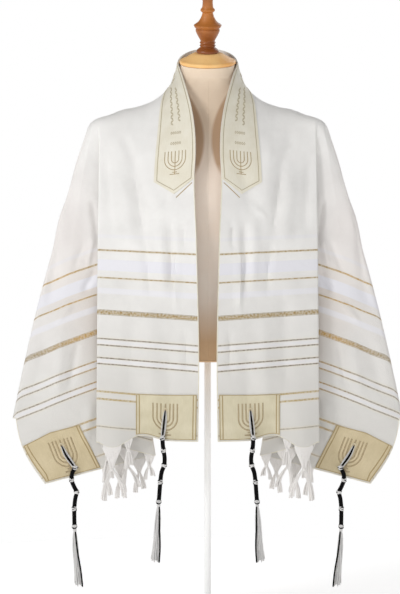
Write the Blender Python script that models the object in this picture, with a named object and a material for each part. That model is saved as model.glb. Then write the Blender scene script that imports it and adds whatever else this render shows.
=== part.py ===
"""A tallit prayer shawl draped over a limbless dress form on a stand.

Metres, +Z up. The shawl's opening faces -Y, and the origin is the middle of the base's underside. The
shawl is symmetric about x = 0, so its drape is worked out for one half, in which a point is (out,
depth, height): out is the distance from x = 0, and depth is y. A place on the flat cut is (u, v): u
runs from the middle of the back to a short end, and v from the neck edge to the outer edge.

Each half hangs from one point of the shoulder. In front the cloth is pleated: a straight front panel,
a layer that goes back in behind it, and an outer layer that comes out again to the wing at the side.
From there it goes on in two flutes to the back panel.
"""

import math

import bmesh
import bpy
import numpy as np
from mathutils import Vector

# The flat cut
HALF_LENGTH = 0.92
WIDTH = 0.56
WALL = 0.0015
GAP = 0.0003
GRAZE = 0.0006
SAME_POINT = 1e-5

# Where the folds come from: the shoulder point, and its place on the cut
APEX = np.array([0.219, -0.020, 1.061])
APEX_U = 0.235
PANEL_WIDTH = 0.195
NECK_U = 0.12
SHOULDER_FALL = 0.33
BEND = 0.05
FOLD_GROWTH = 0.12
LAYER_GAP = 0.010
PLEAT_START, PLEAT_FULL = 0.015, 0.115
LEAST_LEVEL = 0.001

# A row for each line of the drape that leaves the shoulder point: where it meets the cut's edge, how
# far it leans outward and backward from straight down, the bend there, how much the cloth is pulled
# long on it and how far it bows outward at its middle. side is the side of the bend's centre that the
# cloth passes, -1 for a bend that faces outward, 1 inward, 0 for none.
# name,        edge_u, edge_v, out_deg, back_deg, radius, side, layer, pull, bow
DRAPE_LINES = (
    ("panel_fold", 0.920, 0.195, 0.0, -5.0, 0.006, -1, 0, 1.0, 0.0),
    ("inner_tuck", 0.920, 0.317, -9.3, -3.5, 0.006, 1, 1, 1.035, 0.0),
    ("wing", 0.755, 0.560, 14.3, -2.5, 0.009, -1, 2, 1.03, 0.010),
    ("side_tuck", 0.515, 0.560, 0.0, 3.0, 0.014, 1, 2, 1.0, 0.0),
    ("side_flute", 0.373, 0.560, 14.0, 10.0, 0.016, -1, 2, 1.0, 0.0),
    ("side_seam_line", 0.240, 0.560, -3.0, 17.0, 0.0, 0, 2, 1.0, 0.0),
)
# The cut's outer corner hangs from the flat layer between the tuck and the wing, shifted by this, and
# the edge from it up to the wing bows outward
# out, depth, height
CORNER_SHIFT = np.array([-0.007, 0.0, 0.024])
EDGE_BOW = 0.013
PANEL_HEADING = math.radians(9)

# A row for each height of the neck edge, from the side of the neck down to the hem
# out, depth, height
NECK_EDGE = (
    (0.0605, -0.004, 1.1745),
    (0.0490, -0.048, 1.1370),
    (0.0447, -0.062, 1.1215),
    (0.0334, -0.088, 1.0780),
    (0.0262, -0.108, 1.0310),
    (0.0243, -0.119, 0.9860),
    (0.0276, -0.124, 0.9210),
    (0.0240, -0.127, 0.8200),
    (0.0215, -0.128, 0.7250),
    (0.0185, -0.130, 0.5750),
    (0.0204, -0.131, 0.4020),
)
# The top of the shoulder, from the neck to the shoulder point
# v, out, depth, height
SHOULDER = (
    (0.000, 0.0605, -0.004, 1.1745),
    (0.045, 0.0670, -0.004, 1.1460),
    (0.085, 0.0789, -0.005, 1.1220),
    (0.110, 0.1030, -0.007, 1.1010),
    (0.152, 0.1550, -0.012, 1.0800),
    (0.195, 0.2190, -0.020, 1.0610),
)
# The middle of the back, from the nape to the outer edge
# v, depth, height
BACK_LINE = (
    (0.000, 0.0660, 1.2160),
    (0.050, 0.0670, 1.1600),
    (0.100, 0.0760, 1.1060),
    (0.150, 0.0930, 1.0590),
    (0.195, 0.1060, 1.0160),
    (0.250, 0.1150, 0.9620),
    (0.350, 0.1210, 0.8620),
    (0.560, 0.1210, 0.6530),
)
# How the front panel's hem is lifted and pushed back between the patch and the fold
# v, lift, push
HEM_SHAPE = (
    (0.000, 0.000, 0.000),
    (0.060, 0.002, 0.003),
    (0.122, 0.0105, 0.008),
    (0.140, 0.001, 0.000),
    (0.158, -0.009, -0.008),
    (0.176, -0.009, -0.008),
    (0.195, 0.000, 0.000),
)
HEM_SHAPE_HEIGHT = 0.20
# How far down the front the shoulder's shape is felt: out, depth, height
SHOULDER_SPREAD = np.array([0.20, 0.35, 0.35])
NAPE_RISE = 0.0415
NAPE_DEPTH = 0.070
BACK_HANDLES = (0.085, 0.110)
BACK_HEM_HANDLES = (0.050, 0.080)

# How finely the cloth is divided
PANEL_COLUMNS = (0.0, 0.0205, 0.041, 0.0615, 0.082, 0.102, 0.122, 0.140, 0.158, 0.176, 0.195)
BACK_ROWS = 7
BEND_STEPS, LAYER_STEPS = 4, 2

# The neckband, the corner patches and the fringe
BAND_WIDTH, BAND_END, BAND_TIP = 0.082, 0.403, 0.430
BAND_WALL = 0.0012
PATCH_WIDTH, PATCH_HEIGHT, PATCH_MARGIN = 0.1195, 0.0895, 0.0025
OUTER_PATCH_TAPER = 0.010
PATCH_WALL = 0.0010
PATCH_CELLS = 4
# The places on the cut where the front's rows cross the panel's fold. The neckband's sides end on one
# row and its tip is on the next, and the patch starts on another
FRONT_ROWS = (
    (APEX_U, 0.262, 0.289, 0.322, 0.360, BAND_END, BAND_TIP, 0.480, 0.545, 0.620, 0.695, 0.762)
    + (HALF_LENGTH - PATCH_MARGIN - PATCH_HEIGHT, 0.873, HALF_LENGTH)
)
# Below this place a front row is level on the cut
ROWS_LEVEL = 0.376
# The middles of the fringe's pairs along the hem: none where the hem bends
FRINGE_PAIRS = (
    (0.149, 0.167, 0.1855)
    + (0.2185, 0.2345, 0.2505, 0.2675, 0.2840, 0.3015)
    + (0.334, 0.354, 0.374, 0.394, 0.411, 0.430)
)
FRINGE_LENGTH, FRINGE_STRIP = 0.098, 0.004
STRAND_WIDTH, FRINGE_SPLAY = 0.0036, 0.0060
# A row for each step of a strand: how far down it is, how far apart the pair is, and its size there
# down, apart, scale
FRINGE_STEPS = (
    (0.10, 0.18, 0.95),
    (0.26, 0.06, 0.85),
    (0.62, 0.22, 1.15),
    (1.00, 0.34, 1.20),
)

# The corner tassels: a row for each bend of the knotted cord, from the patch's hole down
# out_shift, drop, radius
INNER_CORD = (
    (0.0000, 0.000, 0.0022),
    (0.0014, 0.016, 0.0024),
    (0.0054, 0.054, 0.0052),
    (0.0049, 0.068, 0.0036),
    (0.0037, 0.079, 0.0052),
    (0.0014, 0.092, 0.0036),
    (0.0022, 0.109, 0.0056),
    (0.0069, 0.122, 0.0036),
    (0.0099, 0.143, 0.0054),
    (0.0114, 0.162, 0.0036),
    (0.0129, 0.182, 0.0056),
    (0.0134, 0.190, 0.0046),
)
OUTER_CORD = (
    (0.0000, 0.000, 0.0022),
    (-0.0080, 0.016, 0.0024),
    (-0.0280, 0.044, 0.0052),
    (-0.0220, 0.056, 0.0036),
    (-0.0210, 0.068, 0.0054),
    (-0.0255, 0.081, 0.0036),
    (-0.0310, 0.093, 0.0056),
    (-0.0285, 0.106, 0.0036),
    (-0.0265, 0.127, 0.0054),
    (-0.0265, 0.144, 0.0036),
    (-0.0270, 0.163, 0.0056),
    (-0.0275, 0.171, 0.0046),
)
# The holes' places on the cut, from the hem and from the side edge
INNER_HOLE, OUTER_HOLE = (0.060, 0.064), (0.062, 0.062)
HOLE_SIDE = 0.030
CORD_CLEAR = 0.0062
CORD_SIDES = 8
TASSEL_LENGTH = 0.112
TASSEL_SPREAD = ((0.12, 0.0044), (0.55, 0.0054), (1.0, 0.0068))

# The dress form, a row for each section from its flat underside up
# height, half_width, half_depth, middle_depth, tilt_deg
FORM_SECTIONS = (
    (0.5590, 0.1470, 0.0930, 0.000, 0),
    (0.5620, 0.1500, 0.0960, 0.000, 0),
    (0.6100, 0.1450, 0.0930, 0.000, 0),
    (0.6800, 0.1380, 0.0880, 0.000, 0),
    (0.7600, 0.1410, 0.0910, 0.000, 0),
    (0.8400, 0.1500, 0.0970, 0.000, 0),
    (0.9200, 0.1630, 0.1000, 0.000, 0),
    (0.9800, 0.1760, 0.0920, 0.004, 0),
    (1.0230, 0.1870, 0.0780, 0.008, 0),
    (1.0470, 0.1900, 0.0640, 0.008, 0),
    (1.0655, 0.1800, 0.0520, 0.006, 0),
    (1.0744, 0.1580, 0.0450, 0.003, 0),
    (1.0833, 0.1385, 0.0435, 0.002, 0),
    (1.0923, 0.1159, 0.0430, 0.002, 0),
    (1.1066, 0.0936, 0.0440, 0.002, 2),
    (1.1238, 0.0756, 0.0480, 0.002, 5),
    (1.1400, 0.0655, 0.0520, 0.001, 9),
    (1.1530, 0.0590, 0.0530, 0.000, 14),
    (1.1750, 0.0560, 0.0532, 0.000, 18),
)
FORM_SIDES = 32
FORM_SQUARENESS = 2.25
NECK_TILT = math.radians(18)
NECK_TOP = 1.175
POLE_RADIUS = 0.007
POLE_SEAT = 0.060

# The neck cap and the finial, as turned profiles above the neck's tilted top
# radius, height
CAP_PROFILE = (
    (0.0000, 0.0003),
    (0.0570, 0.0003),
    (0.0584, 0.0016),
    (0.0584, 0.0060),
    (0.0560, 0.0084),
    (0.0520, 0.0096),
    (0.0400, 0.0160),
    (0.0280, 0.0232),
    (0.0000, 0.0232),
)
FINIAL_PROFILE = (
    (0.0000, 0.0000),
    (0.0232, 0.0000),
    (0.0236, 0.0024),
    (0.0222, 0.0056),
    (0.0172, 0.0098),
    (0.0146, 0.0112),
    (0.0146, 0.0120),
    (0.0171, 0.0146),
    (0.0146, 0.0172),
    (0.0146, 0.0182),
    (0.0171, 0.0208),
    (0.0144, 0.0236),
    (0.0154, 0.0262),
    (0.0208, 0.0356),
    (0.0248, 0.0444),
    (0.0250, 0.0480),
    (0.0236, 0.0490),
    (0.0236, 0.0500),
    (0.0260, 0.0512),
    (0.0288, 0.0560),
    (0.0284, 0.0574),
    (0.0214, 0.0620),
    (0.0176, 0.0660),
    (0.0136, 0.0730),
    (0.0112, 0.0805),
    (0.0108, 0.0826),
    (0.0149, 0.0860),
    (0.0149, 0.0892),
    (0.0113, 0.0930),
    (0.0103, 0.1050),
    (0.0118, 0.1130),
    (0.0090, 0.1210),
    (0.0000, 0.1240),
)
CAP_SIDES, FINIAL_SIDES = 32, 20
CAP_HEIGHT = 0.0232

# The stand
BASE_PROFILE = (
    (0.0000, 0.0000),
    (0.1560, 0.0000),
    (0.1600, 0.0030),
    (0.1590, 0.0080),
    (0.1400, 0.0120),
    (0.0400, 0.0180),
    (0.0220, 0.0220),
    (0.0180, 0.0400),
    (0.0073, 0.0400),
    (0.0073, 0.0100),
    (0.0000, 0.0100),
)
BASE_BORE = 0.0100
BASE_SIDES = 36
POLE_SIDES = 16

# name, colour, roughness, metallic
FINISHES = {
    "woven_cloth": ((0.86, 0.85, 0.83), 0.85, 0.0),
    "band_satin": ((0.80, 0.75, 0.62), 0.55, 0.0),
    "patch_satin": ((0.69, 0.60, 0.38), 0.50, 0.0),
    "tassel_yarn": ((0.80, 0.80, 0.80), 0.90, 0.0),
    "fringe_yarn": ((0.84, 0.83, 0.81), 0.90, 0.0),
    "form_linen": ((0.73, 0.60, 0.47), 0.80, 0.0),
    "cap_wood": ((0.74, 0.42, 0.17), 0.40, 0.0),
    "finial_wood": ((0.42, 0.15, 0.06), 0.35, 0.0),
    "stand_paint": ((0.88, 0.88, 0.88), 0.40, 0.0),
}


def material(name):
    colour, roughness, metallic = FINISHES[name]
    made = bpy.data.materials.get(name) or bpy.data.materials.new(name)
    made.use_nodes = True
    shader = made.node_tree.nodes["Principled BSDF"]
    shader.inputs["Base Color"].default_value = (*colour, 1.0)
    shader.inputs["Roughness"].default_value = roughness
    shader.inputs["Metallic"].default_value = metallic
    return made


def add_object(name, mesh_builder, finish):
    mesh = bpy.data.meshes.new(name)
    bmesh.ops.recalc_face_normals(mesh_builder, faces=mesh_builder.faces)
    mesh_builder.to_mesh(mesh)
    mesh_builder.free()
    mesh.materials.append(material(finish))
    mesh.shade_smooth()
    mesh.set_sharp_from_angle(angle=math.radians(45))
    made = bpy.data.objects.new(name, mesh)
    bpy.context.scene.collection.objects.link(made)
    return made


# ---- curves ----


def smooth_step(x):
    x = np.clip(x, 0.0, 1.0)
    return x * x * (3.0 - 2.0 * x)


def through(keys, rows, at):
    """A smooth curve through a table's rows: its values where the key is `at`."""
    keys, rows = np.asarray(keys, float), np.asarray(rows, float)
    slopes = np.gradient(rows, keys, axis=0)
    at = np.clip(np.atleast_1d(at), keys[0], keys[-1])
    i = np.clip(np.searchsorted(keys, at) - 1, 0, len(keys) - 2)
    step = (keys[i + 1] - keys[i])[:, None]
    x = (at - keys[i])[:, None] / step
    start = (1 + 2 * x) * (1 - x) ** 2 * rows[i] + x * (1 - x) ** 2 * step * slopes[i]
    end = x * x * (3 - 2 * x) * rows[i + 1] + x * x * (x - 1) * step * slopes[i + 1]
    return start + end


def lengths(points):
    steps = np.linalg.norm(np.diff(points, axis=0), axis=1)
    return np.concatenate([[0.0], np.cumsum(steps)])


def along(points, fractions):
    """Points at these fractions of a polyline's length."""
    run = lengths(points)
    at = np.asarray(fractions) * run[-1]
    return np.column_stack([np.interp(at, run, points[:, k]) for k in range(3)])


def bezier(ends, handles, fractions):
    x = np.asarray(fractions)[:, None]
    start, end = ends
    return (
        (1 - x) ** 3 * start
        + 3 * x * (1 - x) ** 2 * (start + handles[0])
        + 3 * x * x * (1 - x) * (end + handles[1])
        + x**3 * end
    )


FINE = np.linspace(0.0, 1.0, 161)


# ---- the drape of one half ----


def lean(out_deg, back_deg):
    way = np.array([math.tan(math.radians(out_deg)), math.tan(math.radians(back_deg)), -1.0])
    return way / np.linalg.norm(way)


def leaving(angle):
    """The way that a thread leaves the shoulder point, by its angle on the cut from the panel's fold."""
    way = np.array([math.sin(angle), -math.cos(angle), -SHOULDER_FALL * math.sin(angle)])
    return way / np.linalg.norm(way)


def thread(first, last, reach, levels):
    """Points at these fractions of a thread that leaves along `first` and ends up hanging along `last`."""
    run = FINE * reach
    turn = smooth_step((run[1:] + run[:-1]) / 2 / BEND)[:, None]
    ways = (1 - turn) * first + turn * last
    ways /= np.linalg.norm(ways, axis=1)[:, None]
    steps = ways * (run[1] - run[0])
    path = APEX + np.vstack([np.zeros(3), np.cumsum(steps, axis=0)])
    return np.column_stack([np.interp(levels, FINE, path[:, k]) for k in range(3)])


class Line:
    """One line of the drape from the shoulder point to the cut's edge."""

    def __init__(self, row):
        _, self.u, self.v, out_deg, back_deg, self.radius, self.side, self.layer, pull, self.bow = row
        self.leans = (out_deg, back_deg)
        across, down = self.v - PANEL_WIDTH, self.u - APEX_U
        self.angle = math.atan2(across, down)
        self.reach = math.hypot(across, down) * pull

    def centre(self, level):
        """The middle of the bend at this level, and the bend's signed radius."""
        reach = level * self.reach
        grown = reach / (reach + FOLD_GROWTH)
        point = thread(leaving(self.angle), lean(*self.leans), self.reach, np.array([level]))[0]
        point += (4 * level * (1 - level) * self.bow, self.layer * LAYER_GAP * grown, 0.0)
        return point, self.side * self.radius * grown


LINES = [Line(row) for row in DRAPE_LINES]
TUCK, WING = 1, 2


def tangent_heading(start, start_radius, end, end_radius):
    """The heading of the cloth between two bends that it passes on their signed sides."""
    across = end[:2] - start[:2]
    return math.atan2(across[1], across[0]) - math.asin(
        (start_radius - end_radius) / np.hypot(*across)
    )


def bend_points(centre, radius, heading_in, heading_out, side):
    """The cloth's points round one bend, between the headings that it comes and goes with."""
    turned = heading_out - heading_in
    turned = -side * ((-side * turned) % (2 * math.pi))
    found = []
    for step in range(BEND_STEPS + 1):
        heading = heading_in + turned * step / BEND_STEPS
        normal = np.array([-math.sin(heading), math.cos(heading), 0.0])
        found.append(centre + radius * normal)
    return found


def corner_point(tuck, wing):
    """The cut's outer corner, or its like at another level, in the plane of the layer that it is on."""
    places = np.array([[LINES[k].u - APEX_U, LINES[k].v - PANEL_WIDTH] for k in (TUCK, WING)])
    shares = np.linalg.solve(places.T, np.array([HALF_LENGTH - APEX_U, WIDTH - PANEL_WIDTH]))
    return APEX + shares[0] * (tuck - APEX) + shares[1] * (wing - APEX)


def level_arcs(level):
    """The cloth's points round each bend of one level, in order."""
    bends = [line.centre(level) for line in LINES]
    headings = [PANEL_HEADING]
    for (start, start_radius), (end, end_radius) in zip(bends, bends[1:]):
        headings.append(tangent_heading(start, start_radius, end, end_radius))
    arcs = []
    for k, (line, (centre, radius)) in enumerate(zip(LINES[:-1], bends)):
        arcs.append(bend_points(centre, radius, headings[k], headings[k + 1], line.side))
    return arcs + [[bends[-1][0]]]


def level_line(level):
    """One level of the hanging cloth, from the panel's fold round to the side: its points, and the
    place on the cut's edge that each is in line with."""
    arcs = level_arcs(level)
    stops = [(arc, line.u, line.v) for arc, line in zip(arcs, LINES)]
    corner = corner_point(arcs[TUCK][-1], arcs[WING][0]) + level * CORNER_SHIFT
    stops.insert(WING, ([corner], HALF_LENGTH, WIDTH))
    points, knots = list(stops[0][0]), [0]
    for k, (arc, _, _) in enumerate(stops[1:]):
        start = points[-1]
        bow = level * EDGE_BOW if k == WING else 0.0
        for step in range(1, LAYER_STEPS + 1):
            share = step / (LAYER_STEPS + 1)
            points.append(start + (arc[0] - start) * share)
            points[-1][0] += bow * math.sin(math.pi * share)
        knots.append(len(points) + len(arc) // 2)
        points += arc
    points = np.array(points)
    run = lengths(points)
    keys = run[knots]
    places = [np.interp(run, keys, [stop[part] for stop in stops]) for part in (1, 2)]
    return points, np.column_stack(places)


def unpleated(place, level):
    """Where a thread would hang if the cloth had no pleat: the cloth starts so at the shoulder."""
    across, down = place[1] - PANEL_WIDTH, place[0] - APEX_U
    angle = math.atan2(across, down)
    outward = [line for line in LINES if line.side < 0 or line is LINES[-1]]
    angles = [line.angle for line in outward]
    leans = [np.interp(angle, angles, [line.leans[k] for line in outward]) for k in (0, 1)]
    return thread(leaving(angle), lean(*leans), math.hypot(across, down), np.array([level]))[0]


def hanging_level(level):
    """The points of one level, with the pleat opened out near the shoulder point."""
    points, places = level_line(max(level, LEAST_LEVEL))
    mixed = []
    for point, place in zip(points, places):
        reach = level * math.hypot(place[1] - PANEL_WIDTH, place[0] - APEX_U)
        pleated = smooth_step((reach - PLEAT_START) / (PLEAT_FULL - PLEAT_START))
        mixed.append(pleated * point + (1 - pleated) * unpleated(place, level))
    return np.array(mixed), places


def front_levels():
    """How far down the front each row is, as fractions: at the panel's fold, and at the neck edge."""
    rows = np.array(FRONT_ROWS)
    at_fold = (rows - APEX_U) / (HALF_LENGTH - APEX_U)
    level_at_neck = (rows - NECK_U) / (HALF_LENGTH - NECK_U)
    blend = smooth_step((rows - APEX_U) / (ROWS_LEVEL - APEX_U))
    return at_fold, blend * level_at_neck + (1 - blend) * at_fold


def coons(left, right, top, bottom, top_weight, bottom_weight):
    """A patch between four edges: left and right run down the rows, top and bottom across the columns.
    The weights say how far down the rows the shape of the top and of the bottom is felt."""
    columns = top[1]
    across = columns[None, :, None]
    ruled = (1 - across) * left[:, None] + across * right[:, None]
    top_shape = top[0] - ((1 - across[0]) * top[0][0] + across[0] * top[0][-1])
    bottom_shape = bottom - ((1 - across[0]) * bottom[0] + across[0] * bottom[-1])
    return ruled + top_weight[:, None] * top_shape + bottom_weight[:, None] * bottom_shape


def front_panel(levels, neck_levels, fold_line):
    columns = np.array(PANEL_COLUMNS)
    across = columns / PANEL_WIDTH
    edge = through(lengths(np.array(NECK_EDGE)), NECK_EDGE, FINE * lengths(np.array(NECK_EDGE))[-1])
    shoulder = through([row[0] for row in SHOULDER], [row[1:] for row in SHOULDER], columns)
    shape = through([row[0] for row in HEM_SHAPE], [row[1:] for row in HEM_SHAPE], columns)
    edge_points = along(edge, neck_levels)
    hem = (1 - across[:, None]) * edge_points[-1] + across[:, None] * fold_line[-1]
    hem = hem + np.column_stack([np.zeros(len(columns)), shape[:, 1], shape[:, 0]])
    return coons(
        edge_points,
        fold_line,
        (shoulder, across),
        hem,
        np.clip(1 - levels[:, None] / SHOULDER_SPREAD, 0, 1) ** 2,
        smooth_step((levels - 1) / HEM_SHAPE_HEIGHT + 1)[:, None],
    )


def back_top_line(steps):
    """The line across the back at the panel's width, from the shoulder point to the middle."""
    _, depth, height = BACK_LINE[4]
    return bezier(
        (APEX, np.array([0.0, depth, height])),
        (np.array([0.0, BACK_HANDLES[0], -0.015]), np.array([BACK_HANDLES[1], 0.0, 0.004])),
        steps,
    )


def back_middle(places):
    rows = through([row[0] for row in BACK_LINE], [row[1:] for row in BACK_LINE], places)
    return np.column_stack([np.zeros(len(rows)), rows])


def back_panel():
    """The neck and shoulders at the back: rows from the shoulder's top to the middle of the back."""
    columns = np.array(PANEL_COLUMNS)
    across = columns / PANEL_WIDTH
    steps = np.linspace(0, 1, BACK_ROWS + 1)
    turn = steps * math.pi / 2
    weight = steps[:, None]
    side = np.array(NECK_EDGE[0])
    nape = np.column_stack(
        [
            side[0] * np.cos(turn),
            side[1] + NAPE_DEPTH * np.sin(turn),
            side[2] + NAPE_RISE * np.sin(turn),
        ]
    )
    shoulder = through([row[0] for row in SHOULDER], [row[1:] for row in SHOULDER], columns)
    return coons(
        nape, back_top_line(steps), (shoulder, across), back_middle(columns), weight[::-1], weight
    )


def back_skirt(levels, side_line):
    """The hanging back panel: rows from the panel's line down, columns from the side to the middle."""
    steps = np.linspace(0, 1, BACK_ROWS + 1)
    middle = back_middle(PANEL_WIDTH + levels * (WIDTH - PANEL_WIDTH))
    bottom = bezier(
        (side_line[-1], middle[-1]),
        (np.array([-0.02, BACK_HEM_HANDLES[0], 0.0]), np.array([BACK_HEM_HANDLES[1], 0.0, 0.0])),
        steps,
    )
    weight = levels[:, None]
    return coons(side_line, middle, (back_top_line(steps), steps), bottom, 1 - weight, weight)


class Cloth:
    """The half's grids: panel[row][column] from the back's middle over the shoulder to the hem, and
    skirt[level][column] from the panel's fold round to the back's middle."""

    def __init__(self):
        levels, neck_levels = front_levels()
        hung = [hanging_level(level) for level in levels]
        hanging = np.array([points for points, _ in hung])
        self.hem_places = hung[-1][1]
        front = front_panel(levels, neck_levels, hanging[:, 0])
        back = back_panel()
        self.panel = np.concatenate([back[::-1], front[1:]])
        self.skirt = np.concatenate([hanging, back_skirt(levels, hanging[:, -1])[:, 1:]], axis=1)
        self.levels = levels
        self.neck_rows = NECK_U + neck_levels * (HALF_LENGTH - NECK_U)
        self.panel_normals = grid_normals(self.panel)
        self.panel_normals[0, :, 0] = 0.0
        self.skirt_normals = grid_normals(self.skirt)

    def panel_row(self, u, v):
        """The row, with its fraction, of a place in front of the shoulder's top."""
        across = v / PANEL_WIDTH
        rows = (1 - across) * self.neck_rows + across * np.array(FRONT_ROWS)
        return BACK_ROWS + np.interp(u, rows, np.arange(len(rows)))

    def hem_grid_places(self):
        """The cut's v at each point of the grid along the hem, from the neck edge to the corner."""
        corner = int(np.argmax(self.hem_places[:, 1] >= WIDTH))
        return list(PANEL_COLUMNS[:-1]) + [place[1] for place in self.hem_places[: corner + 1]]

    def hem_point(self, v):
        """A point of the hem, and the way that the cloth runs down there."""
        places = self.hem_grid_places()
        hem = np.concatenate([self.panel[-1][:-1], self.skirt[-1]])[: len(places)]
        above = np.concatenate([self.panel[-2][:-1], self.skirt[-2]])[: len(places)]
        column = np.interp(v, places, np.arange(len(places)))
        k = int(min(column, len(places) - 2))
        point, before = [(row[k] + (row[k + 1] - row[k]) * (column - k)) for row in (hem, above)]
        return point, (point - before) / np.linalg.norm(point - before)

    def skirt_point(self, u, v, rise):
        """The point of the hanging cloth at this place on the cut, `rise` off its right side."""
        over, down = (self.hem_places - (APEX_U, PANEL_WIDTH)).T[::-1]
        angle = math.atan2(v - PANEL_WIDTH, u - APEX_U)
        column = np.interp(angle, np.arctan2(over, down), np.arange(len(over)))
        reach = np.interp(column, np.arange(len(over)), np.hypot(over, down))
        level = math.hypot(v - PANEL_WIDTH, u - APEX_U) / reach
        row = np.interp(level, self.levels, np.arange(len(self.levels)))
        return between(self.skirt, row, column) + rise * between(self.skirt_normals, row, column)

    def panel_point(self, row, v, rise):
        """The point of the panel at this row and distance from the neck edge, `rise` off the cloth."""
        column = np.interp(v, PANEL_COLUMNS, np.arange(len(PANEL_COLUMNS)))
        return between(self.panel, row, column) + rise * between(self.panel_normals, row, column)


def grid_normals(grid):
    """Each grid point's normal, pointing to the cloth's right side."""
    down, across = np.gradient(grid, axis=0), np.gradient(grid, axis=1)
    normals = np.cross(down, across)
    size = np.linalg.norm(normals, axis=2, keepdims=True)
    return normals / np.maximum(size, 1e-12)


def between(grid, row, column):
    """The value of a grid between four of its points."""
    i = int(min(row, len(grid) - 2))
    j = int(min(column, len(grid[0]) - 2))
    x, y = row - i, column - j
    upper = (1 - y) * grid[i][j] + y * grid[i][j + 1]
    lower = (1 - y) * grid[i + 1][j] + y * grid[i + 1][j + 1]
    return (1 - x) * upper + x * lower


# ---- solids ----


def sheet_faces(builder, grid, mirrored):
    """Adds a grid to a mesh, on one half or the other, each cell split along the same diagonal, so that
    sheets that lie on each other stay parallel."""
    side = -1.0 if mirrored else 1.0
    made = [[builder.verts.new((side * p[0], p[1], p[2])) for p in row] for row in grid]
    for upper, lower in zip(made, made[1:]):
        for k in range(len(upper) - 1):
            for corners in (
                (upper[k], lower[k], lower[k + 1]),
                (upper[k], lower[k + 1], upper[k + 1]),
            ):
                builder.faces.new(corners[::-1] if mirrored else corners)


def close_seams(builder):
    """Joins the grids where they meet, and drops the cells that have shrunk to a point."""
    bmesh.ops.remove_doubles(builder, verts=builder.verts, dist=SAME_POINT)
    bmesh.ops.dissolve_degenerate(builder, edges=builder.edges, dist=SAME_POINT)


def thicken(builder, low, high):
    """Turns a sheet into a closed wall between two distances along its points' normals."""
    builder.normal_update()
    verts, faces = list(builder.verts), list(builder.faces)
    rim = [edge.link_loops[0] for edge in builder.edges if edge.is_boundary]
    rim = [(loop.vert, loop.link_loop_next.vert) for loop in rim]
    normals = {vert: vert.normal.copy() for vert in verts}
    under = {vert: builder.verts.new(vert.co + normals[vert] * low) for vert in verts}
    for face in faces:
        builder.faces.new([under[vert] for vert in reversed(face.verts)])
    for start, end in rim:
        builder.faces.new((end, start, under[start], under[end]))
    for vert in verts:
        vert.co += normals[vert] * high
    bmesh.ops.recalc_face_normals(builder, faces=builder.faces)


def shawl_cloth(cloth):
    builder = bmesh.new()
    for mirrored in (False, True):
        sheet_faces(builder, cloth.panel, mirrored)
        sheet_faces(builder, cloth.skirt, mirrored)
    close_seams(builder)
    thicken(builder, -WALL / 2, WALL / 2)
    add_object("shawl_cloth", builder, "woven_cloth")


def atarah(cloth):
    """The neckband, from one pointed end round the nape to the other."""
    widths = [v for v in PANEL_COLUMNS if v <= BAND_WIDTH]
    last_row = BACK_ROWS + FRONT_ROWS.index(BAND_END)
    builder = bmesh.new()
    for mirrored in (False, True):
        rows = []
        for row in range(last_row + 1):
            rows.append([cloth.panel_point(row, v, WALL / 2 + GAP) for v in widths])
        rows.append([cloth.panel_point(last_row + 1, BAND_WIDTH / 2, WALL / 2 + GRAZE)] * len(widths))
        sheet_faces(builder, rows, mirrored)
    close_seams(builder)
    thicken(builder, 0.0, BAND_WALL)
    add_object("atarah", builder, "band_satin")


def inner_patch(cloth, name, mirrored):
    """The patch on the front panel's corner, divided where the cloth's own grid is."""
    sides = (PATCH_MARGIN, PATCH_MARGIN + PATCH_WIDTH)
    between_sides = [v for v in PANEL_COLUMNS if sides[0] < v < sides[1] - GAP]
    widths = [sides[0]] + between_sides + [sides[1]]
    top = BACK_ROWS + FRONT_ROWS.index(HALF_LENGTH - PATCH_MARGIN - PATCH_HEIGHT)
    bottom = cloth.panel_row(HALF_LENGTH - PATCH_MARGIN, sides[0])
    builder = bmesh.new()
    rows = []
    for row in list(range(top, int(bottom) + 1)) + [bottom]:
        rows.append([cloth.panel_point(row, v, WALL / 2 + GRAZE) for v in widths])
    sheet_faces(builder, rows, mirrored)
    thicken(builder, 0.0, PATCH_WALL)
    add_object(name, builder, "patch_satin")


def outer_patch(cloth, name, mirrored):
    """The patch on the cut's outer corner."""
    first_u, first_v = HALF_LENGTH - PATCH_MARGIN - PATCH_HEIGHT, WIDTH - PATCH_MARGIN - PATCH_WIDTH
    builder = bmesh.new()
    rows = []
    for down in np.linspace(0, PATCH_HEIGHT, PATCH_CELLS + 1):
        rows.append([])
        taper = OUTER_PATCH_TAPER * (1 - down / PATCH_HEIGHT)
        for over in np.linspace(taper, PATCH_WIDTH, PATCH_CELLS + 1):
            rows[-1].append(cloth.skirt_point(first_u + down, first_v + over, WALL / 2 + GRAZE))
    sheet_faces(builder, rows, mirrored)
    thicken(builder, 0.0, PATCH_WALL)
    add_object(name, builder, "patch_satin")


def grow_strand(builder, face, steps):
    """Draws a strand out of one face: each step is the place of its new end, and that end's size."""
    for place, scale in steps:
        face = bmesh.ops.extrude_discrete_faces(builder, faces=[face])["faces"][0]
        middle = face.calc_center_median()
        for vert in face.verts:
            vert.co = place + (vert.co - middle) * scale


def ring_of(builder, centre, radius, sides):
    angles = [2 * math.pi * k / sides for k in range(sides)]
    ways = [Vector((math.cos(angle), math.sin(angle), 0.0)) for angle in angles]
    return [builder.verts.new(Vector(centre) + radius * way) for way in ways]


def face_depth(near, out, height):
    """How far back the face through three points is, at this place across and up."""
    start, first, second = near
    sides = np.array([first - start, second - start])
    shares = np.linalg.solve(sides[:, [0, 2]].T, np.array([out - start[0], height - start[2]]))
    return start[1] + shares @ sides[:, 1]


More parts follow.
